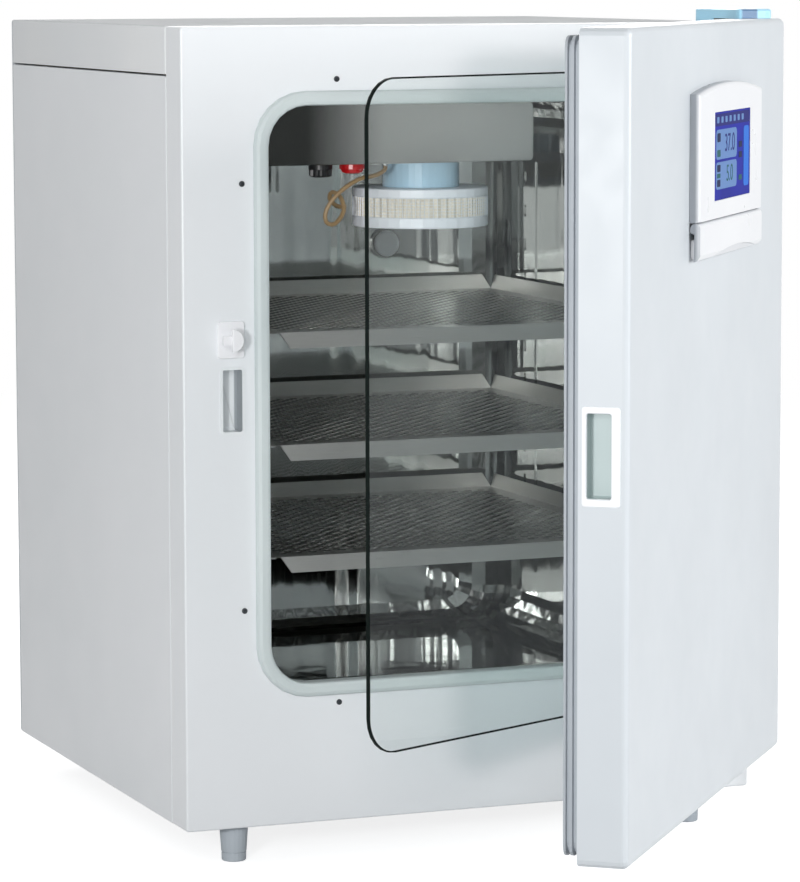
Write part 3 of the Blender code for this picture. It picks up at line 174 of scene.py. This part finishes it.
def mixed(tree, factor, first, second):
    """A colour between two sRGB colours or sockets."""
    pair = [c if isinstance(c, bpy.types.NodeSocket) else srgb(c) for c in (first, second)]
    node = add(tree, "Mix", data_type="RGBA")
    for socket, value in zip((node.inputs[0], node.inputs[6], node.inputs[7]), (factor, *pair)):
        if isinstance(value, bpy.types.NodeSocket):
            tree.links.new(value, socket)
        else:
            socket.default_value = value
    return node.outputs[2]


def maths(tree, operation, *values):
    """One calculation on values or sockets."""
    links = dict(enumerate(values))
    return add(tree, "Math", links, operation=operation).outputs[0]


def bump(tree, shader, height, depth):
    """Gives the shader a relief of that depth in metres, at full strength."""
    settings = {"Height": height, "Distance": depth, "Strength": 1.0}
    tree.links.new(add(tree, "Bump", settings).outputs[0], shader.inputs["Normal"])


def moulded(name, light, dark, roughness, grain, relief, ior=1.46, second=None):
    """A plastic, rubber or paint: a faint drift of colour, a gloss that wanders, and a fine skin.

    Some pieces have a second colour, and a function that says where it shows.
    """
    made, tree, shader = new_material(name, IOR=ior)
    place = coords(tree)
    drift = spread(tree, noise(tree, place, 0.19, 3.0), 0.0, 1.0)
    colour = mixed(tree, drift, light, dark)
    if second:
        colour = mixed(tree, second[1](tree), colour, second[0])
    tree.links.new(colour, shader.inputs["Base Color"])
    skin = noise(tree, place, grain, 3.0)
    gloss = spread(tree, noise(tree, place, 0.04, 2.0), roughness - 0.03, roughness + 0.04)
    tree.links.new(gloss, shader.inputs["Roughness"])
    bump(tree, shader, skin, relief)
    return made


def metal(name, light, dark, roughness, grain, stretch, wave=0.0, relief=0.000004, sheet=(1, 1, 1), second=None):
    """A bare metal: lines of its rolling or brushing, and a sheet whose upright walls aren't quite flat.

    A second colour shows where its function says.
    """
    made, tree, shader = new_material(name, Metallic=1.0)
    lines = noise(tree, coords(tree, stretch), grain, 4.0, 0.6)
    drift = noise(tree, coords(tree), 0.11, 3.0)
    tone = maths(tree, "MULTIPLY_ADD", lines, 0.5, maths(tree, "MULTIPLY", drift, 0.5))
    colour = mixed(tree, spread(tree, tone, 0.0, 1.0), light, dark)
    if second:
        colour = mixed(tree, second[1](tree), colour, second[0])
    tree.links.new(colour, shader.inputs["Base Color"])
    tree.links.new(spread(tree, lines, roughness * 0.85, roughness * 1.2), shader.inputs["Roughness"])
    upright = add(tree, "SeparateXYZ", {0: add(tree, "NewGeometry").outputs["Normal"]}).outputs[2]
    upright = maths(tree, "SUBTRACT", 1.0, maths(tree, "MULTIPLY", maths(tree, "ABSOLUTE", upright), 0.85))
    broad = maths(tree, "MULTIPLY", noise(tree, coords(tree, sheet), 0.12, 1.0), wave / relief)
    broad = maths(tree, "MULTIPLY", broad, upright)
    bump(tree, shader, maths(tree, "ADD", lines, broad), relief)
    return made


# finishes, one for each material slot of the record
def white_powder_coat():
    """Polyester powder coat baked on steel: satin white with a fine orange peel about 1.5 mm across."""
    made, tree, shader = new_material("white_powder_coated_steel", IOR=1.5)
    place = coords(tree)
    drift = spread(tree, noise(tree, place, 0.35, 2.0), 0.0, 1.0)
    tree.links.new(mixed(tree, drift, "EDF0F3", "E8ECEF"), shader.inputs["Base Color"])
    peel = maths(tree, "ADD", noise(tree, place, 0.0016, 2.0), noise(tree, place, 0.006, 1.0))
    tree.links.new(spread(tree, noise(tree, place, 0.05), 0.34, 0.42), shader.inputs["Roughness"])
    bump(tree, shader, peel, 0.00002)
    return made


def safety_glass():
    """Tempered float glass with ground edges: clear on its faces, dark green where it is seen edge on."""
    made, tree, shader = new_material(
        "tempered_float_glass",
        **{"Transmission Weight": 1.0, "IOR": 1.5, "Base Color": srgb("F8FBFA")},
    )
    wander = spread(tree, noise(tree, coords(tree), 0.20, 2.0), 0.0, 0.0015)
    tree.links.new(wander, shader.inputs["Roughness"])
    low, high = (corner.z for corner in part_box("glass_pane"))
    centre = at(GLASS_X[0] + GLASS_W / 2, GLASS_PIN[1], 0)
    half = (GLASS_W / 2 - GLASS_R, (high - low) / 2 - GLASS_R)
    place = shut(tree, GLASS_PIN, GLASS_OPEN)
    out = []
    for axis, middle, reach in ((0, centre.x, half[0]), (2, (low + high) / 2, half[1])):
        away = maths(tree, "ABSOLUTE", maths(tree, "SUBTRACT", place[axis], middle))
        out.append(maths(tree, "MAXIMUM", maths(tree, "SUBTRACT", away, reach), 0.0))
    squares = [maths(tree, "MULTIPLY", v, v) for v in out]
    distance = maths(tree, "SQRT", maths(tree, "ADD", *squares))
    edge = spread(tree, distance, 0.0, 1.0, *(GLASS_R - inset for inset in GLASS_EDGE))
    dark = add(tree, "BsdfPrincipled", {"Base Color": srgb("0A1311"), "Roughness": 0.5, "IOR": 1.15})
    body = add(tree, "MixShader", {0: edge, 1: shader.outputs[0], 2: dark.outputs[0]})
    pale = add(tree, "BsdfTransparent", {"Color": srgb("B9C8C9")})
    in_shadow = maths(
        tree,
        "MULTIPLY",
        add(tree, "LightPath").outputs["Is Shadow Ray"],
        maths(tree, "SUBTRACT", 1.0, maths(tree, "MULTIPLY", edge, 0.6)),
    )
    both = add(tree, "MixShader", {0: in_shadow, 1: body.outputs[0], 2: pale.outputs[0]})
    tree.links.new(both.outputs[0], tree.nodes["Material Output"].inputs["Surface"])
    return made


def filter_paper():
    """Pleated glass fibre paper: warm off-white, matt and a little fluffy, with darker folds."""
    made, tree, shader = new_material("pleated_glass_fibre_paper", Roughness=0.9)
    place = coords(tree)
    fibres = noise(tree, place, 0.0009, 3.0)
    tree.links.new(mixed(tree, spread(tree, fibres, 0.0, 1.0), "F4EFE4", "E6DDCC"), shader.inputs["Base Color"])
    bump(tree, shader, fibres, 0.0001)
    return made


def screen_glass():
    """The cover of a liquid crystal display: deep blue, with a matt film against glare."""
    made, tree, shader = new_material("display_cover_film", Roughness=0.45, IOR=1.12)
    glow = spread(tree, noise(tree, coords(tree), 0.06, 1.0), 0.0, 1.0)
    shade = mixed(tree, glow, "0C1880", "172096")
    tree.links.new(shade, shader.inputs["Base Color"])
    tree.links.new(shade, shader.inputs["Emission Color"])
    shader.inputs["Emission Strength"].default_value = 0.1
    return made


def foam():
    """Foamed polyurethane insulation: closed cells about 2 mm wide, cream and matt."""
    made, tree, shader = new_material("polyurethane_foam", Roughness=0.9)
    cells = add(tree, "TexVoronoi", {"Vector": coords(tree), "Scale": 450.0}).outputs[0]
    tree.links.new(mixed(tree, cells, "E6DCBC", "C9BB90"), shader.inputs["Base Color"])
    bump(tree, shader, cells, 0.0006)
    return made


FINISHES = {
    "white_powder_coat": white_powder_coat,
    "grey_powder_coat": lambda: moulded("grey_powder_coated_steel", "C9CDD1", "C2C6CA", 0.42, 0.0016, 0.00002, 1.5),
    "polished_stainless": lambda: metal(
        "polished_stainless_steel", "CFD0CE", "BDBFBE", 0.05, 0.004, (6, 6, 0.25), 0.0016, 0.000002, (3.4, 3.4, 0.2)
    ),
    "brushed_stainless": lambda: metal(
        "brushed_stainless_steel", "A3A3A0", "92928F", 0.17, 0.003, (0.1, 8, 8), 0.0006, 0.000003
    ),
    "zinc_plated_steel": lambda: metal("zinc_plated_steel", "B5B7B4", "94968F", 0.33, 0.004, (1, 1, 1)),
    "cast_aluminium": lambda: metal("cast_aluminium", "B7B9BA", "A2A4A6", 0.42, 0.0018, (1, 1, 1), relief=0.00006),
    "polyurethane_foam": foam,
    "silicone_trim": lambda: moulded("moulded_silicone_rubber", "D6DFDF", "CAD4D5", 0.5, 0.001, 0.00001, 1.41),
    "door_seal": lambda: moulded("door_seal_rubber", "AEB4BA", "A1A8AF", 0.55, 0.001, 0.00001, 1.5),
    "tempered_glass": safety_glass,
    "white_abs": lambda: moulded("moulded_white_abs", "F8F9FB", "F2F3F6", 0.3, 0.0008, 0.00001, 1.54),
    "grey_rubber": lambda: moulded("moulded_grey_rubber", "B7BFC6", "A8B0B8", 0.6, 0.001, 0.00002, 1.5),
    "black_plastic": lambda: moulded("moulded_black_nylon", "161719", "1D1E20", 0.38, 0.0008, 0.00001, 1.53),
    "red_plastic": lambda: moulded("moulded_red_abs", "C3161C", "A90F16", 0.24, 0.0008, 0.00001, 1.54),
    "blue_plastic": lambda: moulded("moulded_blue_polypropylene", "CDEBFC", "B9DDF4", 0.2, 0.0008, 0.00001, 1.49),
    "cyan_plastic": lambda: moulded("moulded_cyan_abs", "B4E4F8", "9CD4F0", 0.3, 0.0008, 0.00001, 1.54),
    "filter_cap_plastic": lambda: moulded(
        "moulded_pale_polypropylene", "F7FAFF", "F0F5FD", 0.32, 0.0008, 0.00001, 1.49
    ),
    "glass_fibre_paper": filter_paper,
    "amber_silicone": lambda: moulded("extruded_amber_silicone", "A08763", "8C7451", 0.28, 0.002, 0.00001, 1.41),
    "display_glass": screen_glass,
}
made_finishes = {}


def finish(slot_name):
    """The material of a slot, made once."""
    if slot_name not in made_finishes:
        made_finishes[slot_name] = FINISHES[slot_name]()
    return made_finishes[slot_name]


def painted_shade_on_panel_sides(tree):
    """The control panel's side walls, behind its rounded front edge: painted shade, darker in their colour and
    fitted to how they look.
    """
    front = at(0, PANEL_FRONT, 0).y
    return spread(tree, shut(tree, DOOR_PIN, DOOR_OPEN)[1], 0.0, 1.0, front + 0.0020, front + 0.0060)


def painted_shade_in_pocket(tree):
    """The inside of the grip pocket: painted shade, darker and fitted to how it looks."""
    edge = at(0, 0, 0).x
    return spread(tree, shut(tree, DOOR_PIN, DOOR_OPEN)[0], 0.0, 1.0, edge + 0.0010, edge + 0.0050)


def painted_shade_on_recess_wall(tree):
    """The right wall of the finger recess: painted shade, darker and fitted to how it looks."""
    low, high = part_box("finger_recess")
    place = add(tree, "SeparateXYZ", {0: coords(tree)}).outputs
    across = spread(tree, place[0], 0.0, 1.0, high.x - 0.0062, high.x - 0.0050)
    return maths(tree, "MULTIPLY", across, spread(tree, place[1], 0.0, 1.0, low.y + 0.0010, low.y + 0.0020))


def painted_shade_in_holes(tree):
    """Painted shade where the shelves' sheet is cut through: below its upper face, away from the folded rims."""
    low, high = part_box("shelf_1")
    place = add(tree, "SeparateXYZ", {0: coords(tree)}).outputs
    up = maths(tree, "SUBTRACT", place[2], at(0, 0, SHELF_FIRST_Z - SHELF_T).z)
    shown = spread(tree, maths(tree, "MODULO", up, SHELF_PITCH), 1.0, 0.0, SHELF_T - 0.0002, SHELF_T - 0.0001)
    for axis in (0, 1):
        away = maths(tree, "ABSOLUTE", maths(tree, "SUBTRACT", place[axis], (low[axis] + high[axis]) / 2))
        reach = (high[axis] - low[axis]) / 2 - SHELF_RIM
        shown = maths(tree, "MULTIPLY", shown, spread(tree, away, 1.0, 0.0, reach, reach + 0.001))
    return shown


def shaded_end(tree):
    """The left end of the fan housing: darker in its colour, fitted to the shade it lies in."""
    across = add(tree, "SeparateXYZ", {0: coords(tree)}).outputs[0]
    return spread(tree, across, 1.0, 0.0, *(at(x, 0, 0).x for x in HOUSING_SHADE_X))


def cover_top(tree):
    """The upper face of the top cover: a little greyer, fitted to how it looks almost edge on."""
    height = add(tree, "SeparateXYZ", {0: coords(tree)}).outputs[2]
    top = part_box("top_cover")[1].z
    return spread(tree, height, 0.0, 1.0, top - 0.0006, top - 0.0002)


def painted_shade_band_on_cap(tree):
    """The darker blue band near the right end of the hinge cap: painted shade on that face of the cap."""
    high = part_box("hinge_cap")[1]
    across = add(tree, "SeparateXYZ", {0: coords(tree)}).outputs[0]
    start, end = (high.x - inset for inset in CAP_BAND)
    shown = spread(tree, across, 0.0, 1.0, start, start + CAP_BAND_BLEND)
    return maths(tree, "MULTIPLY", shown, spread(tree, across, 1.0, 0.0, end, end + CAP_BAND_BLEND))


LOOKS = {
    # door shell: the cabinet's white powder coat, painted darker as shade against the stronger light on the door
    "door_shell": moulded("white_powder_coat_door_painted_shade", "CFD5DA", "CAD0D5", 0.37, 0.0016, 0.00002, 1.5),
    "top_cover": moulded(
        "white_powder_coated_cover", "FBFDFE", "F6F9FB", 0.5, 0.0016, 0.00002, 1.03, ("DDE0E2", cover_top)
    ),
    # hinge cap: cyan, with a band of painted shade near its right end
    "hinge_cap": moulded(
        "cyan_abs_with_painted_shade_band", "B4E8FF", "A5DFFA", 0.3, 0.0008, 0.00001, 1.54, ("5C83AB", painted_shade_band_on_cap)
    ),
    "plenum_housing": metal(
        "brushed_stainless_housing", "C9C9C6", "BBBBB8", 0.2, 0.003, (0.1, 8, 8), 0.0004, 0.000003,
        second=("4A4B49", shaded_end),
    ),
    # control panel and its flap: white ABS, with painted shade on their side walls
    "control_panel": moulded(
        "white_abs_with_painted_shade_sides", "E6E8EB", "E0E2E6", 0.3, 0.0008, 0.00001, 1.54, ("9EA3AA", painted_shade_on_panel_sides)
    ),
    # grip pocket: white ABS, with painted shade inside the pocket
    "grip_pocket": moulded(
        "white_abs_with_painted_shade_pocket", "F3F5F8", "EDF0F4", 0.3, 0.0008, 0.00001, 1.54, ("B5C3C3", painted_shade_in_pocket)
    ),
    "port_plug_inner": moulded("moulded_pale_silicone", "F4F7F9", "EDF1F3", 0.5, 0.0008, 0.00001, 1.41),
    # finger recess: pale grey ABS, with painted shade on its right wall
    "finger_recess": moulded(
        "grey_abs_with_painted_shade_wall", "EEF2F4", "E6EBED", 0.4, 0.0008, 0.00001, 1.54, ("979DA2", painted_shade_on_recess_wall)
    ),
}
LOOKS["panel_housing"] = LOOKS["panel_flap"] = LOOKS.pop("control_panel")
for name, node in nodes.items():
    slot_name = node.data.materials[0].name.split(".")[0]
    node.data.materials.clear()
    node.data.materials.append(LOOKS.get(name) or finish(slot_name))


# modelling
def only(*objects):
    """Selects these objects alone. The last one is active."""
    for thing in bpy.context.view_layer.objects:
        thing.select_set(False)
    for thing in objects:
        thing.select_set(True)
    bpy.context.view_layer.objects.active = objects[-1] if objects else None


def edit(thing, kind, wanted):
    """Opens a piece for editing with the faces, edges or points selected that wanted says yes to."""
    only(thing)
    bpy.ops.object.mode_set(mode="EDIT")
    bpy.ops.mesh.select_mode(type=kind)
    bpy.ops.mesh.select_all(action="DESELECT")
    shape = bmesh.from_edit_mesh(thing.data)
    for item in {"VERT": shape.verts, "EDGE": shape.edges, "FACE": shape.faces}[kind]:
        item.select_set(bool(wanted(item)))
    shape.select_flush_mode()
    bmesh.update_edit_mesh(thing.data)


def done():
    bpy.ops.object.mode_set(mode="OBJECT")
    return bpy.context.view_layer.objects.active


def settle(thing):
    """Puts a piece's place, turn and size into its mesh."""
    only(thing)
    if thing.type != "MESH":
        bpy.ops.object.convert(target="MESH")
        thing = bpy.context.view_layer.objects.active
    bpy.ops.object.transform_apply(location=True, rotation=True, scale=True)
    return thing


def apply(thing, kind, **settings):
    """Adds a modifier to a piece and applies it."""
    only(thing)
    modifier = thing.modifiers.new("work", kind)
    for key, value in settings.items():
        setattr(modifier, key, value)
    bpy.ops.object.modifier_apply(modifier="work")
    return thing


def joined(things):
    only(*things)
    if len(things) > 1:
        bpy.ops.object.join()
    return bpy.context.view_layer.objects.active


def copied(thing, matrix):
    """A copy of a piece with its own mesh, moved by matrix."""
    twin = thing.copy()
    twin.data = thing.data.copy()
    bpy.context.scene.collection.objects.link(twin)
    twin.data.transform(matrix)
    return twin


def piece(thing, name, body, slot_name, *stands_for, look=None):
    """Names a finished piece, gives it its look or the finish of its slot, puts it on its body, and hides the nodes
    that it stands for.
    """
    thing.name = name
    thing.data.name = name
    thing.data.materials.clear()
    thing.data.materials.append(look or finish(slot_name))
    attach(thing, body)
    if stands_for:
        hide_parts(*stands_for)
    return thing


def from_node(name):
    """A closed copy of a CAD node's mesh, to cut holes in."""
    twin = nodes[name].copy()
    twin.data = nodes[name].data.copy()
    bpy.context.scene.collection.objects.link(twin)
    twin.parent = None
    for key in list(twin.keys()):
        del twin[key]
    edit(twin, "VERT", lambda point: True)
    bpy.ops.mesh.remove_doubles(threshold=0.00001)
    return done()


def cut(thing, cutter, solver="MANIFOLD"):
    """Takes the cutter's shape out of a piece."""
    apply(thing, "BOOLEAN", object=cutter, operation="DIFFERENCE", solver=solver)
    bpy.data.objects.remove(cutter)
    return thing


# perforated shelves: eight-sided holes in staggered rows through the tray floor, large enough to show
HOLE_R = 0.0056
HOLE_PITCH = (0.0180, 0.0200)
SHELF_MARGIN = (0.022, 0.026)
SHELF_FLOOR_UP = 0.0185


def punches(low, high, floor_z):
    """All the punches of one tray, as one mesh of closed pins."""
    span = [high[k] - low[k] - 2 * SHELF_MARGIN[k] for k in (0, 1)]
    counts = [int(span[k] / HOLE_PITCH[k]) for k in (0, 1)]
    start = [(low[k] + high[k] - (counts[k] - 0.5) * HOLE_PITCH[k]) / 2 for k in (0, 1)]
    rows = []
    for odd in (0, 1):
        place = [start[k] + odd * HOLE_PITCH[k] / 2 for k in (0, 1)]
        bpy.ops.mesh.primitive_cylinder_add(vertices=8, radius=HOLE_R, depth=0.01, location=(*place, floor_z))
        row = settle(bpy.context.object)
        for k in (0, 1):
            step = [0.0, 0.0, 0.0]
            step[k] = HOLE_PITCH[k]
            apply(
                row,
                "ARRAY",
                count=counts[k],
                use_relative_offset=False,
                use_constant_offset=True,
                constant_offset_displace=step,
            )
        rows.append(row)
    return joined(rows)


# the trays' hole walls and underside are painted near black, as shade
perforated = metal(
    "perforated_stainless_steel", "BEBEBB", "ABABA8", 0.32, 0.003, (0.1, 8, 8), 0.0006, 0.000003,
    second=("222322", painted_shade_in_holes),
)
for n, body in enumerate(("shelf_low", "shelf_middle", "shelf_high"), 1):
    low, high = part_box(f"shelf_{n}")
    tray = cut(from_node(f"shelf_{n}"), punches(low, high, low.z + SHELF_FLOOR_UP))
    piece(tray, f"perforated_tray_{n}", body, "brushed_stainless", f"shelf_{n}", look=perforated)

# racks: a ladder of slots up each post, which the shelf hooks drop into
SLOT_SIZE = (0.03, 0.007, 0.015)
SLOT_Y = (0.0675, 0.435)
SLOT_Z = [0.235 + 0.0425 * k for k in range(12)]
for side, x in (("left", 0.101), ("right", 0.599)):
    slots = []
    for y in SLOT_Y:
        for z in SLOT_Z:
            bpy.ops.mesh.primitive_cube_add(size=1, location=at(x, y, z), scale=SLOT_SIZE)
            slot = settle(bpy.context.object)
            edit(slot, "EDGE", lambda edge: abs((edge.verts[0].co - edge.verts[1].co).normalized().x) > 0.9)
            bpy.ops.mesh.bevel(offset=0.003, segments=3)
            slots.append(done())
    rack = cut(from_node(f"rack_{side}"), joined(slots), "EXACT")
    polished = finish("polished_stainless")
    piece(rack, f"slotted_rack_{side}", "cabinet", "brushed_stainless", f"rack_{side}", look=polished)


# screws
def screw(radius, height, socket):
    """A low domed screw with a hexagon socket, standing on its flat face and looking along -Y."""
    bpy.ops.mesh.primitive_cylinder_add(
        vertices=24, radius=radius, depth=height, location=(0, -height / 2, 0), rotation=(math.pi / 2, 0, 0)
    )
    head = settle(bpy.context.object)
    edit(head, "FACE", lambda face: face.normal.y < -0.9)
    bpy.ops.mesh.bevel(offset=height * 0.6, segments=3, affect="EDGES")
    head = done()
    bpy.ops.mesh.primitive_cylinder_add(
        vertices=6, radius=socket, depth=height, location=(0, -height, 0), rotation=(math.pi / 2, 0, 0)
    )
    return cut(head, settle(bpy.context.object), "EXACT")


def dark_steel():
    """Blackened alloy steel screws: dark, oily and a little worn on their rims."""
    return metal("black_oxide_steel", "5B5F63", "2E3134", 0.32, 0.0012, (1, 1, 1))


oxide = dark_steel()
FRONT_SCREWS = ((0.1832, 0.8409), (0.0703, 0.7264), (0.0703, 0.2478), (0.1832, 0.1365))
heads = []
master = screw(0.0033, 0.0016, 0.0014)
for x, z in FRONT_SCREWS:
    for across in (x, BODY_W - x):
        heads.append(copied(master, Matrix.Translation(at(across, 0.0, z))))
piece(joined(heads), "front_screws", "cabinet", "zinc_plated_steel", look=oxide)
BACK = Matrix.Rotation(math.pi, 4, "Z")
REAR_INSET = 0.012
heads = []
for x in (REAR_INSET, BODY_W / 2, BODY_W - REAR_INSET):
    for z in (REAR_INSET, BODY_H / 2, BODY_H - REAR_INSET):
        if x != BODY_W / 2 or z != BODY_H / 2:
            heads.append(copied(master, Matrix.Translation(at(x, BODY_D, z)) @ BACK))
piece(joined(heads), "rear_screws", "cabinet", "zinc_plated_steel", look=oxide)
bpy.data.objects.remove(master)

# hinge cap: as narrow and as flat as it is seen over the door
CAP_SHARE = (0.84, 1.0, 0.86)
low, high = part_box("hinge_cap")
cap = from_node("hinge_cap")
fixed = Matrix.Translation((high.x, high.y, low.z))
cap.data.transform(fixed @ Matrix.Diagonal((*CAP_SHARE, 1.0)) @ fixed.inverted())
piece(cap, "hinge_cap_cover", "cabinet", "cyan_plastic", "hinge_cap", look=LOOKS["hinge_cap"])

# filter guard: a welded plastic net round the pleats
low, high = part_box("filter_media")
NET_R = (high.x - low.x) / 2 + 0.0010
bpy.ops.mesh.primitive_cylinder_add(
    vertices=96, radius=NET_R, depth=high.z - low.z, end_fill_type="NOTHING", location=(low + high) / 2
)
net = settle(bpy.context.object)
edit(net, "EDGE", lambda edge: abs(edge.verts[0].co.z - edge.verts[1].co.z) > 0.01)
bpy.ops.mesh.subdivide(number_cuts=5)
net = apply(done(), "WIREFRAME", thickness=0.0009, use_boundary=True, use_even_offset=False)
piece(net, "filter_net", "cabinet", "filter_cap_plastic")


# display: bars, fields and plain numbers behind the cover glass
def lit(name, shade, glow):
    """Liquid crystal segments lit from behind: a faint grain of two near colours, and a slight glow."""
    made, tree, shader = new_material(name, Roughness=0.45, IOR=1.12)
    cells = spread(tree, noise(tree, coords(tree), 0.0006, 1.0), 0.0, 1.0)
    tone = mixed(tree, cells, shade[0], shade[1])
    tree.links.new(tone, shader.inputs["Base Color"])
    tree.links.new(tone, shader.inputs["Emission Color"])
    shader.inputs["Emission Strength"].default_value = glow
    return made


INK = {
    "pale": lit("lit_pale_blue", ("6585B7", "5B7AAB"), 0.12),
    "bright": lit("lit_bright_blue", ("2F6FCC", "2763BE"), 0.15),
    "navy": lit("unlit_navy", ("1B2070", "171B60"), 0.05),
    "dark": lit("unlit_dark", ("10204A", "0C1A3E"), 0.02),
    "green": lit("lit_green", ("245C5C", "1C5152"), 0.05),
}
SCREEN_W, SCREEN_H = SCREEN_X[1] - SCREEN_X[0], SCREEN_Z[1] - SCREEN_Z[0]
LAYER = 0.00012


def on_screen(across, up, layer):
    """A place on the shut door's display, from its lower left corner as shares of its size."""
    y = PANEL_FRONT + SCREEN_SUNK - layer * LAYER
    return at(SCREEN_X[0] + across * SCREEN_W, y, SCREEN_Z[0] + up * SCREEN_H)


def field(x0, x1, z0, z1, layer):
    """A thin plate with rounded corners on the display."""
    low, high = on_screen(x0, z0, layer), on_screen(x1, z1, layer)
    size = (high.x - low.x, LAYER, high.z - low.z)
    bpy.ops.mesh.primitive_cube_add(size=1, location=(low + high) / 2, scale=size)
    plate = settle(bpy.context.object)
    edit(plate, "EDGE", lambda edge: abs((edge.verts[0].co - edge.verts[1].co).normalized().y) > 0.9)
    bpy.ops.mesh.bevel(offset=min(size[0], size[2]) * 0.18, segments=3)
    return done()


def number(words, across, up, height, layer):
    """A plain number on the display, centred at that place."""
    bpy.ops.object.text_add(location=on_screen(across, up, layer), rotation=(math.pi / 2, 0, 0))
    text = bpy.context.object
    text.data.body = words
    text.data.size = height * SCREEN_H
    text.data.extrude = LAYER / 2
    text.data.align_x = "CENTER"
    text.data.align_y = "CENTER"
    return settle(text)


drawn = {
    "pale": [field(0.04, 0.62, 0.46, 0.80, 1), field(0.04, 0.62, 0.12, 0.43, 1)],
    "bright": [field(0.82, 0.965, 0.10, 0.80, 1)],
    "navy": [
        field(0.02, 0.98, 0.84, 0.98, 1),
        number("37.0", 0.42, 0.63, 0.29, 2.2),
    ],
    "dark": [
        field(0.07, 0.16, 0.66, 0.76, 2),
        field(0.07, 0.16, 0.32, 0.40, 2),
        field(0.07, 0.16, 0.15, 0.23, 2),
        field(0.68, 0.77, 0.56, 0.63, 1),
        field(0.68, 0.77, 0.44, 0.51, 1),
    ],
    "green": [
        field(0.07, 0.16, 0.49, 0.57, 2),
        field(0.07, 0.16, 0.25, 0.30, 2),
        field(0.68, 0.77, 0.18, 0.24, 1),
        number("5.0", 0.42, 0.28, 0.27, 2.2),
    ],
}
drawn["pale"] += [field(0.06 + 0.115 * k, 0.12 + 0.115 * k, 0.875, 0.945, 2) for k in range(7)]
for ink, parts in drawn.items():
    marks = joined(parts)
    marks.data.transform(ON_DOOR)
    piece(marks, f"display_{ink}", "outer_door", "display_glass", look=INK[ink])

# floor and backdrop
BACKDROP_R = 40.0


def pale_floor():
    """A seamless white studio floor: it takes the object's shadow near by, and fades into white far off."""
    made, tree, shader = new_material("white_studio_floor", Roughness=0.8)
    shader.inputs["Base Color"].default_value = srgb("B8B9BA")
    rays = add(tree, "LightPath").outputs
    seen = maths(tree, "MAXIMUM", rays["Is Camera Ray"], rays["Is Glossy Ray"])
    seen = maths(tree, "MAXIMUM", seen, rays["Is Transmission Ray"])
    away = add(tree, "VectorMath", {0: coords(tree)}, operation="LENGTH").outputs["Value"]
    far = spread(tree, away, 0.0, 1.0, 1.2, 5.0)
    white = add(tree, "Emission", {"Color": (1.0, 1.0, 1.0, 1.0), "Strength": 1.0})
    lift = add(tree, "Emission", {"Color": (1.0, 1.0, 1.0, 1.0), "Strength": 0.8})
    near = add(tree, "AddShader", {0: shader.outputs[0], 1: lift.outputs[0]})
    shown = add(tree, "MixShader", {0: far, 1: near.outputs[0], 2: white.outputs[0]})
    both = add(tree, "MixShader", {0: seen, 1: shader.outputs[0], 2: shown.outputs[0]})
    tree.links.new(both.outputs[0], tree.nodes["Material Output"].inputs["Surface"])
    return made


only()
FLOOR_GAP = 0.0002
under = (0, 0, cad_box[0][2] - FLOOR_GAP)
bpy.ops.mesh.primitive_circle_add(vertices=96, radius=BACKDROP_R, fill_type="NGON", location=under)
floor = settle(bpy.context.object)
floor.name = "studio_floor"
floor.data.materials.append(pale_floor())

world = bpy.data.worlds.new("studio")
world.use_nodes = True
bpy.context.scene.world = world
sky = world.node_tree
sky.nodes.clear()
rays = add(sky, "LightPath").outputs
seen = maths(sky, "MAXIMUM", rays["Is Camera Ray"], rays["Is Glossy Ray"])
seen = maths(sky, "MAXIMUM", seen, rays["Is Transmission Ray"])
AMBIENT = 0.22
soft = add(sky, "Background", {"Color": (1.0, 1.0, 1.0, 1.0), "Strength": AMBIENT})
white = add(sky, "Background", {"Color": (1.0, 1.0, 1.0, 1.0), "Strength": 1.0})
shown = add(sky, "MixShader", {0: seen, 1: soft.outputs[0], 2: white.outputs[0]})
add(sky, "OutputWorld", {"Surface": shown.outputs[0]})


# lamps
def softbox(name, place, aim, size, power):
    """A white rectangular lamp with a soft face, turned to its aim."""
    bpy.ops.object.light_add(type="AREA", location=at(*place))
    lamp = bpy.context.object
    lamp.name = name
    lamp.data.shape = "RECTANGLE"
    lamp.data.size, lamp.data.size_y = size
    lamp.data.energy = power
    lamp.rotation_euler = (at(*aim) - at(*place)).to_track_quat("-Z", "Y").to_euler()


softbox("lamp_left", (-1.24, -1.90, 0.69), (0.35, 0.0, 0.5), (0.2, 0.2), 17.5)
softbox("lamp_front", (-1.5, -3.3, 1.5), (0.35, 0.0, 0.6), (1.6, 1.2), 38.0)
softbox("lamp_right", (2.2, -1.9, 1.2), (0.45, -0.3, 0.6), (1.1, 1.1), 48.0)
softbox("lamp_side", (-1.4, 0.2, 2.0), (0.0, 0.3, 0.6), (0.8, 0.8), 5.0)
softbox("lamp_over", (0.3, 0.2, 3.4), (0.3, 0.2, 0.9), (2.0, 2.0), 3.0)
softbox("lamp_back", (1.6, 3.6, 2.2), (0.35, 0.6, 0.4), (1.6, 1.6), 46.0)

# camera
SENSOR = 36.0
FRAME_H = 882
FOCAL = 4059.4
CAMERA_AT = (-1.4219, -4.2478, 0.9678)
YAW, PITCH, ROLL = (math.radians(v) for v in (21.58, -6.70, -0.13))
forward = Vector((math.sin(YAW) * math.cos(PITCH), math.cos(YAW) * math.cos(PITCH), math.sin(PITCH)))
right = Vector((math.cos(YAW), -math.sin(YAW), 0.0))
up = right.cross(forward)
right, up = (
    right * math.cos(ROLL) + up * math.sin(ROLL),
    up * math.cos(ROLL) - right * math.sin(ROLL),
)
bpy.ops.object.camera_add()
camera = bpy.context.object
camera.name = "camera"
camera.data.sensor_width = SENSOR
camera.data.lens = FOCAL * SENSOR / FRAME_H
camera.data.clip_start, camera.data.clip_end = 0.1, 200.0
turn = Matrix((right, up, -forward)).transposed().to_4x4()
camera.matrix_world = Matrix.Translation(at(*CAMERA_AT)) @ turn
bpy.context.scene.camera = camera
bpy.context.scene.view_settings.view_transform = "Standard"
